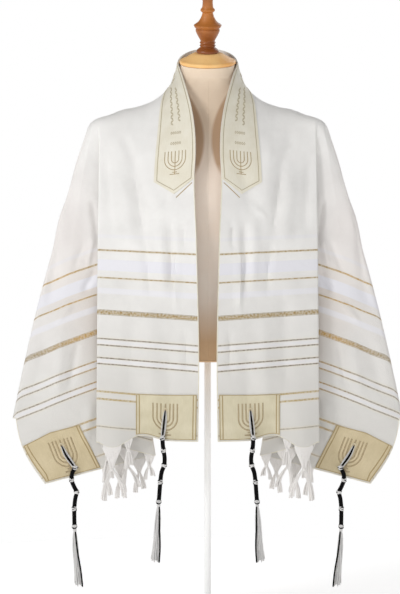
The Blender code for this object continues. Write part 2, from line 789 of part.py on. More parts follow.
def tzitzit(name, cord, near, mirrored):
    """A knotted cord that hangs from a patch's hole over the hem, with its tassel's strands below.
    near has three points just off the patch: the hole, the hem under it and a place beside it."""
    side = -1.0 if mirrored else 1.0
    hole, hem, _ = near
    builder = bmesh.new()
    rings = []
    for out_shift, drop, radius in cord:
        out, height = hole[0] + out_shift, hole[2] - drop
        clear = radius if height > hem[2] + CORD_CLEAR else CORD_CLEAR
        depth = face_depth(near, out, max(height, hem[2])) - clear
        centre = (side * out, depth, height)
        rings.append(ring_of(builder, centre, radius, CORD_SIDES))
    join_rings(builder, rings)
    builder.faces.new(rings[0])
    end = Vector(centre) - Vector((0.0, 0.0, cord[-1][2] / 2))
    middle = builder.verts.new(end)
    roots = []
    for first, second in zip(rings[-1], rings[-1][1:] + rings[-1][:1]):
        roots.append(builder.faces.new((first, second, middle)))
    bmesh.ops.recalc_face_normals(builder, faces=builder.faces)
    ways = [(root.calc_center_median() - end) * Vector((1.0, 1.0, 0.0)) for root in roots]
    bmesh.ops.inset_individual(builder, faces=roots, thickness=0.0003)
    for k, (root, way) in enumerate(zip(roots, ways)):
        length = TASSEL_LENGTH * (1 - 0.04 * (k % 3))
        steps = []
        for part, reach in TASSEL_SPREAD:
            drop = Vector((0.0, 0.0, -length * part))
            steps.append((end + way.normalized() * reach + drop, 0.92))
        grow_strand(builder, root, steps)
    add_object(name, builder, "tassel_yarn")


def fringe(cloth, name, mirrored):
    """The fringe between a hem's two patches: a strip parted from the hem, with its strands in pairs."""
    side = -1.0 if mirrored else 1.0
    middles = np.array(FRINGE_PAIRS)
    bends = np.array(cloth.hem_grid_places())
    bends = bends[(bends > middles[0]) & (bends < middles[-1])]
    bends = [v for v in bends if np.min(np.abs(v - middles)) > STRAND_WIDTH + GAP]
    stations = np.sort(np.concatenate([middles - STRAND_WIDTH, middles, middles + STRAND_WIDTH, bends]))
    rows = [[], []]
    for v in stations:
        point, way = cloth.hem_point(v)
        rows[0].append(point + way * GAP)
        rows[1].append(point + way * (GAP + FRINGE_STRIP))
    builder = bmesh.new()
    sheet_faces(builder, rows, mirrored)
    thicken(builder, -WALL / 2, WALL / 2)
    builder.faces.ensure_lookup_table()
    for k, place in enumerate(middles):
        ends = [cloth.hem_point(place + shift) for shift in (-STRAND_WIDTH / 2, STRAND_WIDTH / 2)]
        ends = [point + way * (GAP + FRINGE_STRIP) for point, way in ends]
        ends = [Vector((side * point[0], point[1], point[2])) for point in ends]
        for part, (root, other) in enumerate((ends, ends[::-1])):
            under = [face for face in builder.faces if abs(face.normal.z) > 0.7]
            face = min(under, key=lambda face: (face.calc_center_median() - root).length)
            splay = (root - other) * Vector((1.0, 1.0, 0.0))
            splay = splay.normalized() * FRINGE_SPLAY
            length = FRINGE_LENGTH * (1 - 0.06 * ((k + part) % 3))
            steps = []
            for down, apart, scale in FRINGE_STEPS:
                steps.append((root + splay * apart - Vector((0.0, 0.0, length * down)), scale))
            grow_strand(builder, face, steps)
            builder.normal_update()
    add_object(name, builder, "fringe_yarn")


def inner_tzitzit(cloth, name, mirrored):
    rise = WALL / 2 + GRAZE + PATCH_WALL + GAP
    up, v = INNER_HOLE
    near = []
    for height, over in ((up, 0.0), (0.0, 0.0), (up, HOLE_SIDE)):
        near.append(cloth.panel_point(cloth.panel_row(HALF_LENGTH - height, v), v + over, rise))
    tzitzit(name, INNER_CORD, near, mirrored)


def outer_tzitzit(cloth, name, mirrored):
    rise = WALL / 2 + GRAZE + PATCH_WALL + GAP
    up, inward = OUTER_HOLE
    near = []
    for height, over in ((up, 0.0), (0.0, 0.0), (up, HOLE_SIDE)):
        near.append(cloth.skirt_point(HALF_LENGTH - height, WIDTH - inward - over, rise))
    tzitzit(name, OUTER_CORD, near, mirrored)


# ---- the form and its stand ----


def turned(name, profile, sides, finish, place=(0.0, 0.0, 0.0), tilt=0.0):
    """A solid turned about its own upright axis, from a profile that runs from axis to axis."""
    builder = bmesh.new()
    rings = []
    for radius, rise in profile:
        if radius:
            rings.append(ring_of(builder, (0.0, 0.0, rise), radius, sides))
        else:
            rings.append([builder.verts.new((0.0, 0.0, rise))])
    join_rings(builder, rings)
    made = add_object(name, builder, finish)
    made.location = place
    made.rotation_euler = (tilt, 0.0, 0.0)


def join_rings(builder, rings):
    for lower, upper in zip(rings, rings[1:]):
        count = max(len(lower), len(upper))
        for k in range(count):
            after = (k + 1) % count
            corners = [lower[k % len(lower)], lower[after % len(lower)]]
            corners += [upper[after % len(upper)], upper[k % len(upper)]]
            builder.faces.new(list(dict.fromkeys(corners)))


def form_torso():
    """The form's body: one section above another, with a blind bore for the pole underneath."""
    builder = bmesh.new()
    underside = FORM_SECTIONS[0][0]
    rings = [[builder.verts.new((0.0, 0.0, underside + POLE_SEAT))]]
    for height in (underside + POLE_SEAT, underside):
        rings.append(ring_of(builder, (0.0, 0.0, height), POLE_RADIUS + GAP, FORM_SIDES))
    for height, half_width, half_depth, middle, tilt in FORM_SECTIONS:
        rings.append([])
        for k in range(FORM_SIDES):
            angle = 2 * math.pi * k / FORM_SIDES
            c, s = math.cos(angle), math.sin(angle)
            out = half_width * math.copysign(abs(c) ** (2 / FORM_SQUARENESS), c)
            depth = half_depth * math.copysign(abs(s) ** (2 / FORM_SQUARENESS), s)
            rise = depth * math.tan(math.radians(tilt))
            rings[-1].append(builder.verts.new((out, middle + depth, height + rise)))
    rings.append([builder.verts.new((0.0, 0.0, NECK_TOP))])
    join_rings(builder, rings)
    add_object("form_torso", builder, "form_linen")


def form_and_stand():
    form_torso()
    turned("form_neck_cap", CAP_PROFILE, CAP_SIDES, "cap_wood", (0.0, 0.0, NECK_TOP), NECK_TILT)
    foot = CAP_HEIGHT + GAP
    foot_place = (0.0, -foot * math.sin(NECK_TILT), NECK_TOP + foot * math.cos(NECK_TILT))
    turned("form_finial", FINIAL_PROFILE, FINIAL_SIDES, "finial_wood", foot_place, NECK_TILT)
    pole_top = FORM_SECTIONS[0][0] + POLE_SEAT - GAP
    pole_foot = BASE_BORE + GAP
    pole = ((0.0, pole_foot), (POLE_RADIUS, pole_foot), (POLE_RADIUS, pole_top), (0.0, pole_top))
    turned("stand_pole", pole, POLE_SIDES, "stand_paint")
    turned("stand_base", BASE_PROFILE, BASE_SIDES, "stand_paint")


def build():
    for old in list(bpy.data.objects):
        bpy.data.objects.remove(old, do_unlink=True)
    cloth = Cloth()
    shawl_cloth(cloth)
    atarah(cloth)
    for word, mirrored in (("left", True), ("right", False)):
        inner_patch(cloth, f"patch_inner_{word}", mirrored)
        outer_patch(cloth, f"patch_outer_{word}", mirrored)
        inner_tzitzit(cloth, f"tzitzit_inner_{word}", mirrored)
        outer_tzitzit(cloth, f"tzitzit_outer_{word}", mirrored)
        fringe(cloth, f"fringe_{word}", mirrored)
    form_and_stand()


build()
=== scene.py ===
"""The looks of a tallit prayer shawl on a limbless dress form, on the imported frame.

Metres, +Z up, the shawl's open front to -Y. The shawl is symmetric, so its drape is worked out for
one half, in which a point is (out, depth, height), as in the part's source. A place on the flat cut
is (u, v): u runs from the middle of the back to a short end, and v from the neck edge to the outer
edge. Tables inside mm() are in millimetres.
"""

import math
import random
from functools import partialmethod
from types import SimpleNamespace as Kind

import bpy
import numpy as np
from mathutils import Matrix, Vector


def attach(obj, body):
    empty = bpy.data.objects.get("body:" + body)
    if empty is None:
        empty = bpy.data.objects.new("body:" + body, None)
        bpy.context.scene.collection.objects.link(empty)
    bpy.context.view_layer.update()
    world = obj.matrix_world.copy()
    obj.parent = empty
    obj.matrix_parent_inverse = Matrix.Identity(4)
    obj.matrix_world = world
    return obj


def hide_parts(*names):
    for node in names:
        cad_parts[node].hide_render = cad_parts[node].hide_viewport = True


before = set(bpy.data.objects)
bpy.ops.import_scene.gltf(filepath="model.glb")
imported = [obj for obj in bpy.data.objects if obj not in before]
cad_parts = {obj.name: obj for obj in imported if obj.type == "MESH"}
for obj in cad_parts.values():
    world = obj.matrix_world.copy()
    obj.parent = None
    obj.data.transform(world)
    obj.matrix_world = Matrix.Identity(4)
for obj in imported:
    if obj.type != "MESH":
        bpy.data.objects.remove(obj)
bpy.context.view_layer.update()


def mm(*rows):
    return np.array(rows) / 1000


def add_object(name, data):
    made = bpy.data.objects.new(name, data)
    bpy.context.scene.collection.objects.link(made)
    return made


# ---- the camera ----

CAMERA_PLACE, CAMERA_LENS, CAMERA_SENSOR = (-0.0158, -3.6, 0.691), 105.15, 36.0

lens = bpy.data.cameras.new("camera")
lens.lens, lens.sensor_fit, lens.sensor_height = CAMERA_LENS, "VERTICAL", CAMERA_SENSOR
camera = add_object("camera", lens)
camera.location, camera.rotation_euler = CAMERA_PLACE, (math.radians(90), 0.0, 0.0)
bpy.context.scene.camera = camera

# ---- the drape, from the same values as the part ----

HALF_LENGTH, WIDTH = 0.92, 0.56
APEX = np.array([0.219, -0.020, 1.061])
APEX_U, PANEL_WIDTH, NECK_U = 0.235, 0.195, 0.12
FOLD_START = np.array([APEX_U, PANEL_WIDTH])
SHOULDER_FALL, BEND, FOLD_GROWTH, LAYER_GAP = 0.33, 0.05, 0.12, 0.010
PLEAT_START, PLEAT_FULL, LEAST_LEVEL = 0.015, 0.115, 0.001
# edge_u, edge_v, out_deg, back_deg, radius, side, layer, pull, bow
DRAPE_LINES = (
    (0.92, 0.195, 0.0, -5.0, 0.006, -1, 0, 1.0, 0.0),
    (0.92, 0.317, -9.3, -3.5, 0.006, 1, 1, 1.035, 0.0),
    (0.755, 0.56, 14.3, -2.5, 0.009, -1, 2, 1.03, 0.01),
    (0.515, 0.56, 0.0, 3.0, 0.014, 1, 2, 1.0, 0.0),
    (0.373, 0.56, 14.0, 10.0, 0.016, -1, 2, 1.0, 0.0),
    (0.24, 0.56, -3.0, 17.0, 0.0, 0, 2, 1.0, 0.0),
)
CORNER_SHIFT, EDGE_BOW = np.array([-0.007, 0.0, 0.024]), 0.013
PANEL_HEADING = math.radians(9)
# out, depth, height
NECK_EDGE = mm(
    (60.5, -4, 1174.5), (49, -48, 1137), (44.7, -62, 1121.5), (33.4, -88, 1078),
    (26.2, -108, 1031), (24.3, -119, 986), (27.6, -124, 921), (24, -127, 820), (21.5, -128, 725),
    (18.5, -130, 575), (20.4, -131, 402),
)
# place on the cut, out, depth, height
SHOULDER = mm(
    (0, 60.5, -4, 1174.5), (45, 67, -4, 1146), (85, 78.9, -5, 1122), (110, 103, -7, 1101),
    (152, 155, -12, 1080), (195, 219, -20, 1061),
)
# place on the cut, depth, height
BACK_LINE = mm(
    (0, 66, 1216), (50, 67, 1160), (100, 76, 1106), (150, 93, 1059), (195, 106, 1016),
    (250, 115, 962), (350, 121, 862), (560, 121, 653),
)
# place on the cut, lift, depth
HEM_SHAPE = mm(
    (0, 0, 0), (60, 2, 3), (122, 10.5, 8), (140, 1, 0), (158, -9, -8), (176, -9, -8), (195, 0, 0),
)
HEM_SHAPE_HEIGHT, SHOULDER_SPREAD = 0.20, np.array([0.20, 0.35, 0.35])
NAPE_RISE, NAPE_DEPTH = 0.0415, 0.070
BACK_HANDLES, BACK_HEM_HANDLES = (0.085, 0.110), (0.050, 0.080)
BACK_LEVEL = 4
ROWS_LEVEL = 0.376

# How finely the cloth is divided here
PANEL_COLUMNS = np.concatenate([[0.0, 0.003], np.linspace(0.008, 0.195, 34)])
FRONT_ROWS = np.concatenate(
    [np.linspace(APEX_U, 0.40, 26)[:-1], np.linspace(0.40, 0.914, 70), [0.917, 0.92]]
)
BACK_STEPS = np.linspace(0.0, 1.0, 29)
BEND_STEPS, LAYER_STEPS = 8, (12, 34, 24, 18, 16, 14)
FINE = np.linspace(0.0, 1.0, 161)
WALL = 0.0013
SAME_POINT, NEAR_MIDDLE, TINY = 2e-6, 1e-7, 1e-15


def smooth_step(x):
    x = np.clip(x, 0.0, 1.0)
    return x * x * (3.0 - 2.0 * x)


def through(keys, rows, at):
    """A smooth curve through some rows: its values where the key is `at`."""
    keys, rows = np.asarray(keys, float), np.asarray(rows, float)
    slopes = np.gradient(rows, keys, axis=0)
    at = np.clip(np.atleast_1d(at), keys[0], keys[-1])
    i = np.clip(np.searchsorted(keys, at) - 1, 0, len(keys) - 2)
    step = (keys[i + 1] - keys[i])[:, None]
    x = (at - keys[i])[:, None] / step
    start = (1 + 2 * x) * (1 - x) ** 2 * rows[i] + x * (1 - x) ** 2 * step * slopes[i]
    end = x * x * (3 - 2 * x) * rows[i + 1] + x * x * (x - 1) * step * slopes[i + 1]
    return start + end


def table_curve(table, at):
    """A smooth curve through a table, whose first column is the key."""
    table = np.array(table, float)
    return through(table[:, 0], table[:, 1:], at)


def lengths(points):
    steps = np.linalg.norm(np.diff(points, axis=0), axis=1)
    return np.concatenate([[0.0], np.cumsum(steps)])


def pick(points, run, at):
    """The places along a path, whose points are at `run`, where it is `at`."""
    return np.column_stack([np.interp(at, run, part) for part in np.asarray(points).T])


def bezier(ends, handles, fractions):
    x = np.asarray(fractions)[:, None]
    start, end = ends
    near_start = (1 - x) ** 3 * start + 3 * x * (1 - x) ** 2 * (start + handles[0])
    return near_start + 3 * x * x * (1 - x) * (end + handles[1]) + x**3 * end


def unit(way):
    return way / np.linalg.norm(way)


def lean(out_deg, back_deg):
    return unit(np.array([math.tan(math.radians(out_deg)), math.tan(math.radians(back_deg)), -1.0]))


def leaving(angle):
    out = math.sin(angle)
    return unit(np.array([out, -math.cos(angle), -SHOULDER_FALL * out]))


def hanging_path(angle, leans, reach, level):
    """A point of a thread that leaves the shoulder point at an angle and ends up hanging plumb."""
    run = FINE * reach
    turn = smooth_step((run[1:] + run[:-1]) / 2 / BEND)[:, None]
    ways = (1 - turn) * leaving(angle) + turn * lean(*leans)
    ways /= np.linalg.norm(ways, axis=1)[:, None]
    path = APEX + np.vstack([np.zeros(3), np.cumsum(ways * (run[1] - run[0]), axis=0)])
    return pick(path, FINE, [level])[0]


class Line:
    """One line of the drape from the shoulder point to the cut's edge."""

    def __init__(self, row):
        self.u, self.v, out_deg, back_deg, self.radius, self.side, self.layer, pull, self.bow = row
        self.leans = (out_deg, back_deg)
        across, down = self.v - PANEL_WIDTH, self.u - APEX_U
        self.angle = math.atan2(across, down)
        self.reach = math.hypot(across, down) * pull

    def centre(self, level):
        reach = level * self.reach
        grown = reach / (reach + FOLD_GROWTH)
        point = hanging_path(self.angle, self.leans, self.reach, level)
        point += (4 * level * (1 - level) * self.bow, self.layer * LAYER_GAP * grown, 0.0)
        return point, self.side * self.radius * grown


LINES = [Line(row) for row in DRAPE_LINES]
TUCK, WING = 1, 2


def tangent_heading(start, start_radius, end, end_radius):
    across = end[:2] - start[:2]
    slant = math.asin((start_radius - end_radius) / np.hypot(*across))
    return math.atan2(across[1], across[0]) - slant


def bend_points(centre, radius, heading_in, heading_out, side):
    turned = -side * ((-side * (heading_out - heading_in)) % (2 * math.pi))
    headings = heading_in + turned * np.arange(BEND_STEPS + 1) / BEND_STEPS
    around = np.column_stack([-np.sin(headings), np.cos(headings), 0 * headings])
    return list(centre + radius * around)


def corner_point(tuck, wing):
    places = np.array([[LINES[k].u - APEX_U, LINES[k].v - PANEL_WIDTH] for k in (TUCK, WING)])
    shares = np.linalg.solve(places.T, np.array([HALF_LENGTH - APEX_U, WIDTH - PANEL_WIDTH]))
    return APEX + shares[0] * (tuck - APEX) + shares[1] * (wing - APEX)


def level_line(level):
    """One level of the hanging cloth: its points, and the places in line with them on the edge."""
    bends = [line.centre(level) for line in LINES]
    headings = [PANEL_HEADING]
    for start, end in zip(bends, bends[1:]):
        headings.append(tangent_heading(*start, *end))
    arcs = []
    for k, (line, bend) in enumerate(zip(LINES[:-1], bends)):
        arcs.append(bend_points(*bend, headings[k], headings[k + 1], line.side))
    arcs.append([bends[-1][0]])
    stops = [(arc, line.u, line.v) for arc, line in zip(arcs, LINES)]
    corner = corner_point(arcs[TUCK][-1], arcs[WING][0]) + level * CORNER_SHIFT
    stops.insert(WING, ([corner], HALF_LENGTH, WIDTH))
    points, knots = list(stops[0][0]), [0]
    for k, ((arc, _, _), steps) in enumerate(zip(stops[1:], LAYER_STEPS)):
        share = np.arange(1, steps + 1)[:, None] / (steps + 1)
        flat = points[-1] + (arc[0] - points[-1]) * share
        if k == WING:
            flat[:, :1] += level * EDGE_BOW * np.sin(math.pi * share)
        knots.append(len(points) + steps + len(arc) // 2)
        points += [*flat, *arc]
    points = np.array(points)
    run = lengths(points)
    return points, pick([stop[1:] for stop in stops], run[knots], run)


def unpleated(place, level):
    """Where the cloth would hang with no folds."""
    across, down = place[1] - PANEL_WIDTH, place[0] - APEX_U
    angle = math.atan2(across, down)
    outward = [line for line in LINES if line.side < 0 or line is LINES[-1]]
    leans = pick([line.leans for line in outward], [line.angle for line in outward], [angle])[0]
    return hanging_path(angle, leans, math.hypot(across, down), level)


def hanging_level(level):
    points, places = level_line(max(level, LEAST_LEVEL))
    for k, place in enumerate(places):
        reach = level * math.hypot(place[1] - PANEL_WIDTH, place[0] - APEX_U)
        pleated = smooth_step((reach - PLEAT_START) / (PLEAT_FULL - PLEAT_START))
        if pleated < 1.0:
            points[k] = pleated * points[k] + (1 - pleated) * unpleated(place, level)
    return points, places


def coons(left, right, top, bottom, across, top_weight, bottom_weight):
    """A sheet between four lines, with the shapes of its top and bottom fading down and up it."""
    across = across[:, None]
    ruled = (1 - across) * left[:, None] + across * right[:, None]
    for line, weight in ((top, top_weight), (bottom, bottom_weight)):
        ruled = ruled + weight[:, None] * (line - ((1 - across) * line[0] + across * line[-1]))
    return ruled


def front_levels():
    """Each row's level on the hanging cloth, and its level down the neck edge."""
    at_fold = (FRONT_ROWS - APEX_U) / (HALF_LENGTH - APEX_U)
    level_at_neck = (FRONT_ROWS - NECK_U) / (HALF_LENGTH - NECK_U)
    blend = smooth_step((FRONT_ROWS - APEX_U) / (ROWS_LEVEL - APEX_U))
    return at_fold, blend * level_at_neck + (1 - blend) * at_fold


def front_panel(levels, neck_levels, fold_line):
    across = PANEL_COLUMNS / PANEL_WIDTH
    run = lengths(NECK_EDGE)
    edge = through(run, NECK_EDGE, FINE * run[-1])
    run = lengths(edge)
    neck = pick(edge, run, neck_levels * run[-1])
    lift, depth = table_curve(HEM_SHAPE, PANEL_COLUMNS).T
    hem = (1 - across[:, None]) * neck[-1] + across[:, None] * fold_line[-1]
    hem += np.column_stack([np.zeros(len(across)), depth, lift])
    top_weight = np.clip(1 - levels[:, None] / SHOULDER_SPREAD, 0, 1) ** 2
    bottom_weight = smooth_step((levels - 1) / HEM_SHAPE_HEIGHT + 1)[:, None]
    shoulder = table_curve(SHOULDER, PANEL_COLUMNS)
    return coons(neck, fold_line, shoulder, hem, across, top_weight, bottom_weight)


def back_top_line():
    _, depth, height = BACK_LINE[BACK_LEVEL]
    handles = (0.0, BACK_HANDLES[0], -0.015), (BACK_HANDLES[1], 0.0, 0.004)
    return bezier((APEX, np.array([0.0, depth, height])), np.array(handles), BACK_STEPS)


def back_middle(places):
    rows = table_curve(BACK_LINE, places)
    return np.column_stack([np.zeros(len(rows)), rows])


def back_panel():
    out, depth, height = NECK_EDGE[0]
    cosine, sine = np.cos(BACK_STEPS * math.pi / 2), np.sin(BACK_STEPS * math.pi / 2)
    nape = np.column_stack([out * cosine, depth + NAPE_DEPTH * sine, height + NAPE_RISE * sine])
    across, weight = PANEL_COLUMNS / PANEL_WIDTH, BACK_STEPS[:, None]
    shoulder, middle = table_curve(SHOULDER, PANEL_COLUMNS), back_middle(PANEL_COLUMNS)
    return coons(nape, back_top_line(), shoulder, middle, across, weight[::-1], weight)


def back_skirt(levels, side_line):
    middle = back_middle(PANEL_WIDTH + levels * (WIDTH - PANEL_WIDTH))
    handles = (-0.02, BACK_HEM_HANDLES[0], 0.0), (BACK_HEM_HANDLES[1], 0.0, 0.0)
    bottom = bezier((side_line[-1], middle[-1]), np.array(handles), BACK_STEPS)
    weight = levels[:, None]
    return coons(side_line, middle, back_top_line(), bottom, BACK_STEPS, 1 - weight, weight)


# ---- creases: soft ridges and hollows drawn on the cut ----

# A row for each: from (u, v) to (u, v), half width, height (below 0 for a hollow)
CREASES = mm(
    (284, 160, 380, 116, 8, -4.7), (350, 128, 528, 104, 8, -5.3), (360, 150, 540, 126, 12, 4.6),
    (500, 106, 640, 94, 6, -4.3), (470, 51, 620, 50, 9, -7), (464, 70, 640, 68, 10, 4.8),
    (540, 290, 800, 375, 14, -7.5), (485, 27, 545, 26, 5, -4.7), (505, 40, 690, 41, 4.5, 4.3),
    (540, 51, 640, 50, 6, -4.7), (690, 26, 800, 24, 6, -4), (638, 90, 880, 94, 16, 4.6),
    (600, 130, 850, 134, 14, -4.1), (326, 186, 513, 170, 9, -4), (300, 110, 470, 80, 14, 3.5),
    (450, 60, 475, 96, 6, 2.5), (720, 60, 880, 56, 14, -3.5), (350, 30, 470, 66, 14, -3),
    (400, 262, 510, 286, 7, -6.2), (480, 286, 540, 322, 5, 4.6), (480, 300, 540, 350, 6, -3.5),
    (585, 350, 540, 300, 6, -4.9), (625, 415, 598, 370, 5, 3.5), (665, 386, 765, 446, 7, -5.4),
    (650, 410, 780, 480, 10, 4.3), (631, 425, 760, 515, 14, -4.1), (780, 400, 880, 460, 10, 4.6),
    (440, 330, 600, 418, 14, -4.6), (380, 300, 560, 380, 12, 4.1), (360, 250, 700, 330, 14, 4.1),
    (340, 320, 560, 540, 16, -4.6), (300, 300, 440, 550, 16, 4.6), (200, 240, 230, 540, 18, -5.9),
    (170, 220, 200, 480, 10, 4.1), (130, 200, 170, 540, 18, 5.9), (90, 170, 120, 400, 10, -4.3),
    (70, 160, 80, 540, 18, -5.9), (40, 140, 40, 360, 10, 4.1), (20, 240, 10, 540, 18, 4.6),
    (120, 100, 60, 190, 14, 4.1), (190, 120, 150, 240, 14, 3.4), (230, 140, 200, 220, 10, 3.5),
)
CREASE_ENDS = 0.30


def crease_height(places):
    """How far the cloth is pushed out at each place of the cut."""
    height = np.zeros(len(places))
    for row in CREASES:
        start, way, (width, size) = row[:2], row[2:4] - row[:2], row[4:]
        part = np.clip((places - start) @ way / (way @ way), 0.0, 1.0)
        gap = np.linalg.norm(places - start - part[:, None] * way, axis=1)
        ends = smooth_step(part / CREASE_ENDS) * smooth_step((1 - part) / CREASE_ENDS)
        height += size * ends * np.exp(-((gap / width) ** 2))
    return height


# ---- the cloth's surface ----


def grid_faces(grid):
    """Two triangles for each cell, split the same way, without those shrunk to nothing."""
    a, b = grid[:-1, :-1].ravel(), grid[:-1, 1:].ravel()
    c, d = grid[1:, :-1].ravel(), grid[1:, 1:].ravel()
    faces = np.concatenate([np.column_stack([a, c, d]), np.column_stack([a, d, b])])
    return faces[(faces != np.roll(faces, 1, axis=1)).all(axis=1)]


def point_normals(points, faces):
    first, second, third = (points[faces[:, k]] for k in range(3))
    facing = np.cross(second - first, third - first)
    normals = np.zeros_like(points)
    for k in range(3):
        np.add.at(normals, faces[:, k], facing)
    return normals / np.maximum(np.linalg.norm(normals, axis=1, keepdims=True), TINY)


class Half:
    """One half's fine grids, with each point's place on the cut and its normal."""

    def __init__(self):
        self.levels, neck_levels = front_levels()
        hung = [hanging_level(level) for level in self.levels]
        hanging = np.array([points for points, _ in hung])
        self.edge = hung[-1][1]
        front = front_panel(self.levels, neck_levels, hanging[:, 0])
        panel = np.concatenate([back_panel()[::-1], front[1:]])
        skirt = np.concatenate([hanging, back_skirt(self.levels, hanging[:, -1])[:, 1:]], axis=1)
        self.panel_u = self.panel_run(neck_levels)
        panel_places = np.stack(np.broadcast_arrays(self.panel_u, PANEL_COLUMNS), axis=2)
        self.weld((panel, skirt), (panel_places, self.skirt_places()))

    def panel_run(self, neck_levels):
        """How far along the cut each point of the panel's grid is."""
        across = PANEL_COLUMNS / PANEL_WIDTH
        start_u = NECK_U + (APEX_U - NECK_U) * across
        neck_u = NECK_U + neck_levels[1:, None] * (HALF_LENGTH - NECK_U)
        back_u = start_u * (1 - BACK_STEPS[::-1])[:, None]
        return np.concatenate([back_u, (1 - across) * neck_u + across * FRONT_ROWS[1:, None]])

    def skirt_places(self):
        hung = FOLD_START + self.levels[:, None, None] * (self.edge - FOLD_START)
        back_v = PANEL_WIDTH + self.levels[:, None] * (WIDTH - PANEL_WIDTH)
        back = np.stack(np.broadcast_arrays(APEX_U * (1 - BACK_STEPS[1:]), back_v), axis=2)
        return np.concatenate([hung, back], axis=1)

    def weld(self, grids, places):
        """Joins the two grids into one list of points, then pushes its creases out."""
        points = np.concatenate([grid.reshape(-1, 3) for grid in grids])
        places = np.concatenate([grid.reshape(-1, 2) for grid in places])
        keys = np.round(points / SAME_POINT).astype(np.int64)
        _, first, which = np.unique(keys, axis=0, return_index=True, return_inverse=True)
        self.points, self.places = points[first], places[first]
        parts = np.split(which.ravel(), [grids[0].size // 3])
        self.panel, self.skirt = (ids.reshape(grid.shape[:2]) for ids, grid in zip(parts, grids))
        self.faces = np.concatenate([grid_faces(self.panel), grid_faces(self.skirt)])
        self.middle = np.abs(self.points[:, 0]) < NEAR_MIDDLE
        normals = point_normals(self.points, self.faces)
        self.points = self.points + crease_height(self.places)[:, None] * normals
        self.points[self.middle, 0] = 0.0
        self.normals = point_normals(self.points, self.faces)
        self.normals[self.middle, 0] = 0.0

    def at(self, grid, row, column, rise):
        """The point between four of a grid's, `rise` off the cloth, and its normal."""
        i = int(min(max(row, 0), grid.shape[0] - 2))
        j = int(min(max(column, 0), grid.shape[1] - 2))
        x, y = row - i, column - j
        shares = np.array(((1 - x) * (1 - y), (1 - x) * y, x * (1 - y), x * y))
        ids = grid[i : i + 2, j : j + 2].ravel()
        normal = unit(shares @ self.normals[ids])
        return shares @ self.points[ids] + rise * normal, normal

    def on_panel(self, u, v, rise=0.0):
        """The cloth between the neck edge and the panel's fold, from the back to the hem."""
        column = np.interp(v, PANEL_COLUMNS, np.arange(len(PANEL_COLUMNS)))
        j = int(min(column, len(PANEL_COLUMNS) - 2))
        us = self.panel_u[:, j] * (1 - column + j) + self.panel_u[:, j + 1] * (column - j)
        return self.at(self.panel, np.interp(u, us, np.arange(len(us))), column, rise)

    def on_skirt(self, u, v, rise=0.0):
        """The cloth outside the panel's fold, in front."""
        down, over = (self.edge - FOLD_START).T
        steps = np.arange(len(over))
        column = np.interp(math.atan2(v - PANEL_WIDTH, u - APEX_U), np.arctan2(over, down), steps)
        reach = np.interp(column, steps, np.hypot(over, down))
        level = math.hypot(v - PANEL_WIDTH, u - APEX_U) / reach
        row = np.interp(level, self.levels, np.arange(len(self.levels)))
        return self.at(self.skirt, row, column, rise)


half = Half()

# ---- meshes and pieces ----

MIRROR = np.array((-1.0, 1.0, 1.0))


def circle(sides):
    angles = np.arange(sides) * 2 * math.pi / sides
    return np.column_stack([np.cos(angles), np.sin(angles)])


class Mesh:
    """Points and faces in the making, with each point's place for the materials to read."""

    def __init__(self):
        self.points, self.faces, self.finishes, self.places = [], [], [], []

    def add(self, points, faces, finish=0, places=None):
        start = len(self.points)
        self.points += np.asarray(points).tolist()
        self.faces += [tuple(int(k) + start for k in face) for face in faces]
        self.finishes += [finish] * len(faces)
        self.places += np.zeros((len(points), 2)).tolist() if places is None else places.tolist()


def make_piece(name, mesh, materials, replaced=None, mirrored=False, sharp_deg=40):
    points, faces = np.array(mesh.points), mesh.faces
    if mirrored:
        points = points * MIRROR
        faces = [face[::-1] for face in faces]
    data = bpy.data.meshes.new(name)
    data.from_pydata(points.tolist(), [], faces)
    for material in materials:
        data.materials.append(material)
    data.polygons.foreach_set("material_index", mesh.finishes)
    corners = [k for face in faces for k in face]
    layer = data.uv_layers.new(name="cut")
    layer.data.foreach_set("uv", np.array(mesh.places, float)[corners].ravel())
    data.shade_smooth()
    data.set_sharp_from_angle(angle=math.radians(sharp_deg))
    piece = add_object(name, data)
    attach(piece, "root")
    if replaced:
        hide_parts(replaced)
    return piece


def ring_faces(rows, sides):
    """Quads between one ring and the next."""
    faces = []
    for start in range(0, (rows - 1) * sides, sides):
        for j in range(sides):
            k = (j + 1) % sides
            faces.append((start + j, start + k, start + sides + k, start + sides + j))
    return faces


def closed_faces(rows, sides):
    """Quads between one ring and the next, and a face over each end."""
    last = (rows - 1) * sides
    ends = [tuple(range(sides))[::-1], tuple(range(last, last + sides))]
    return ring_faces(rows, sides) + ends


# A way that no cord starts in
NO_CORD_WAY = (0.3, 1.0, 0.2)


def frames_along(path):
    """For each point of a path: the way on, and two ways across that don't twist."""
    ways = np.gradient(path, axis=0)
    ways /= np.maximum(np.linalg.norm(ways, axis=1)[:, None], TINY)
    side = np.cross(ways[0], NO_CORD_WAY)
    sides = []
    for way in ways:
        side = unit(side - way * (side @ way))
        sides.append(side)
    return ways, np.array(sides), np.cross(ways, sides)


def tube(mesh, path, radii, sides=6, finish=0, pitch=0.0, ridge=0.0):
    """A round cord along a path. With a pitch, the threads wound round it stand out as ridges."""
    path = np.asarray(path, float)
    radii = np.broadcast_to(radii, len(path))[:, None]
    run, angles = lengths(path)[:, None], np.arange(sides) * 2 * math.pi / sides
    sizes = np.broadcast_to(radii, (len(path), sides))
    if pitch:
        sizes = sizes - ridge + ridge * np.abs(np.sin(run / pitch * math.pi + angles))
    _, first, second = frames_along(path)
    cosine, sine = circle(sides).T[:, :, None]
    points = path[:, None] + sizes[:, :, None] * (cosine * first[:, None] + sine * second[:, None])
    places = np.stack(np.broadcast_arrays(run, angles * radii), axis=2)
    faces = closed_faces(len(path), sides)
    mesh.add(points.reshape(-1, 3), faces, finish, places.reshape(-1, 2))


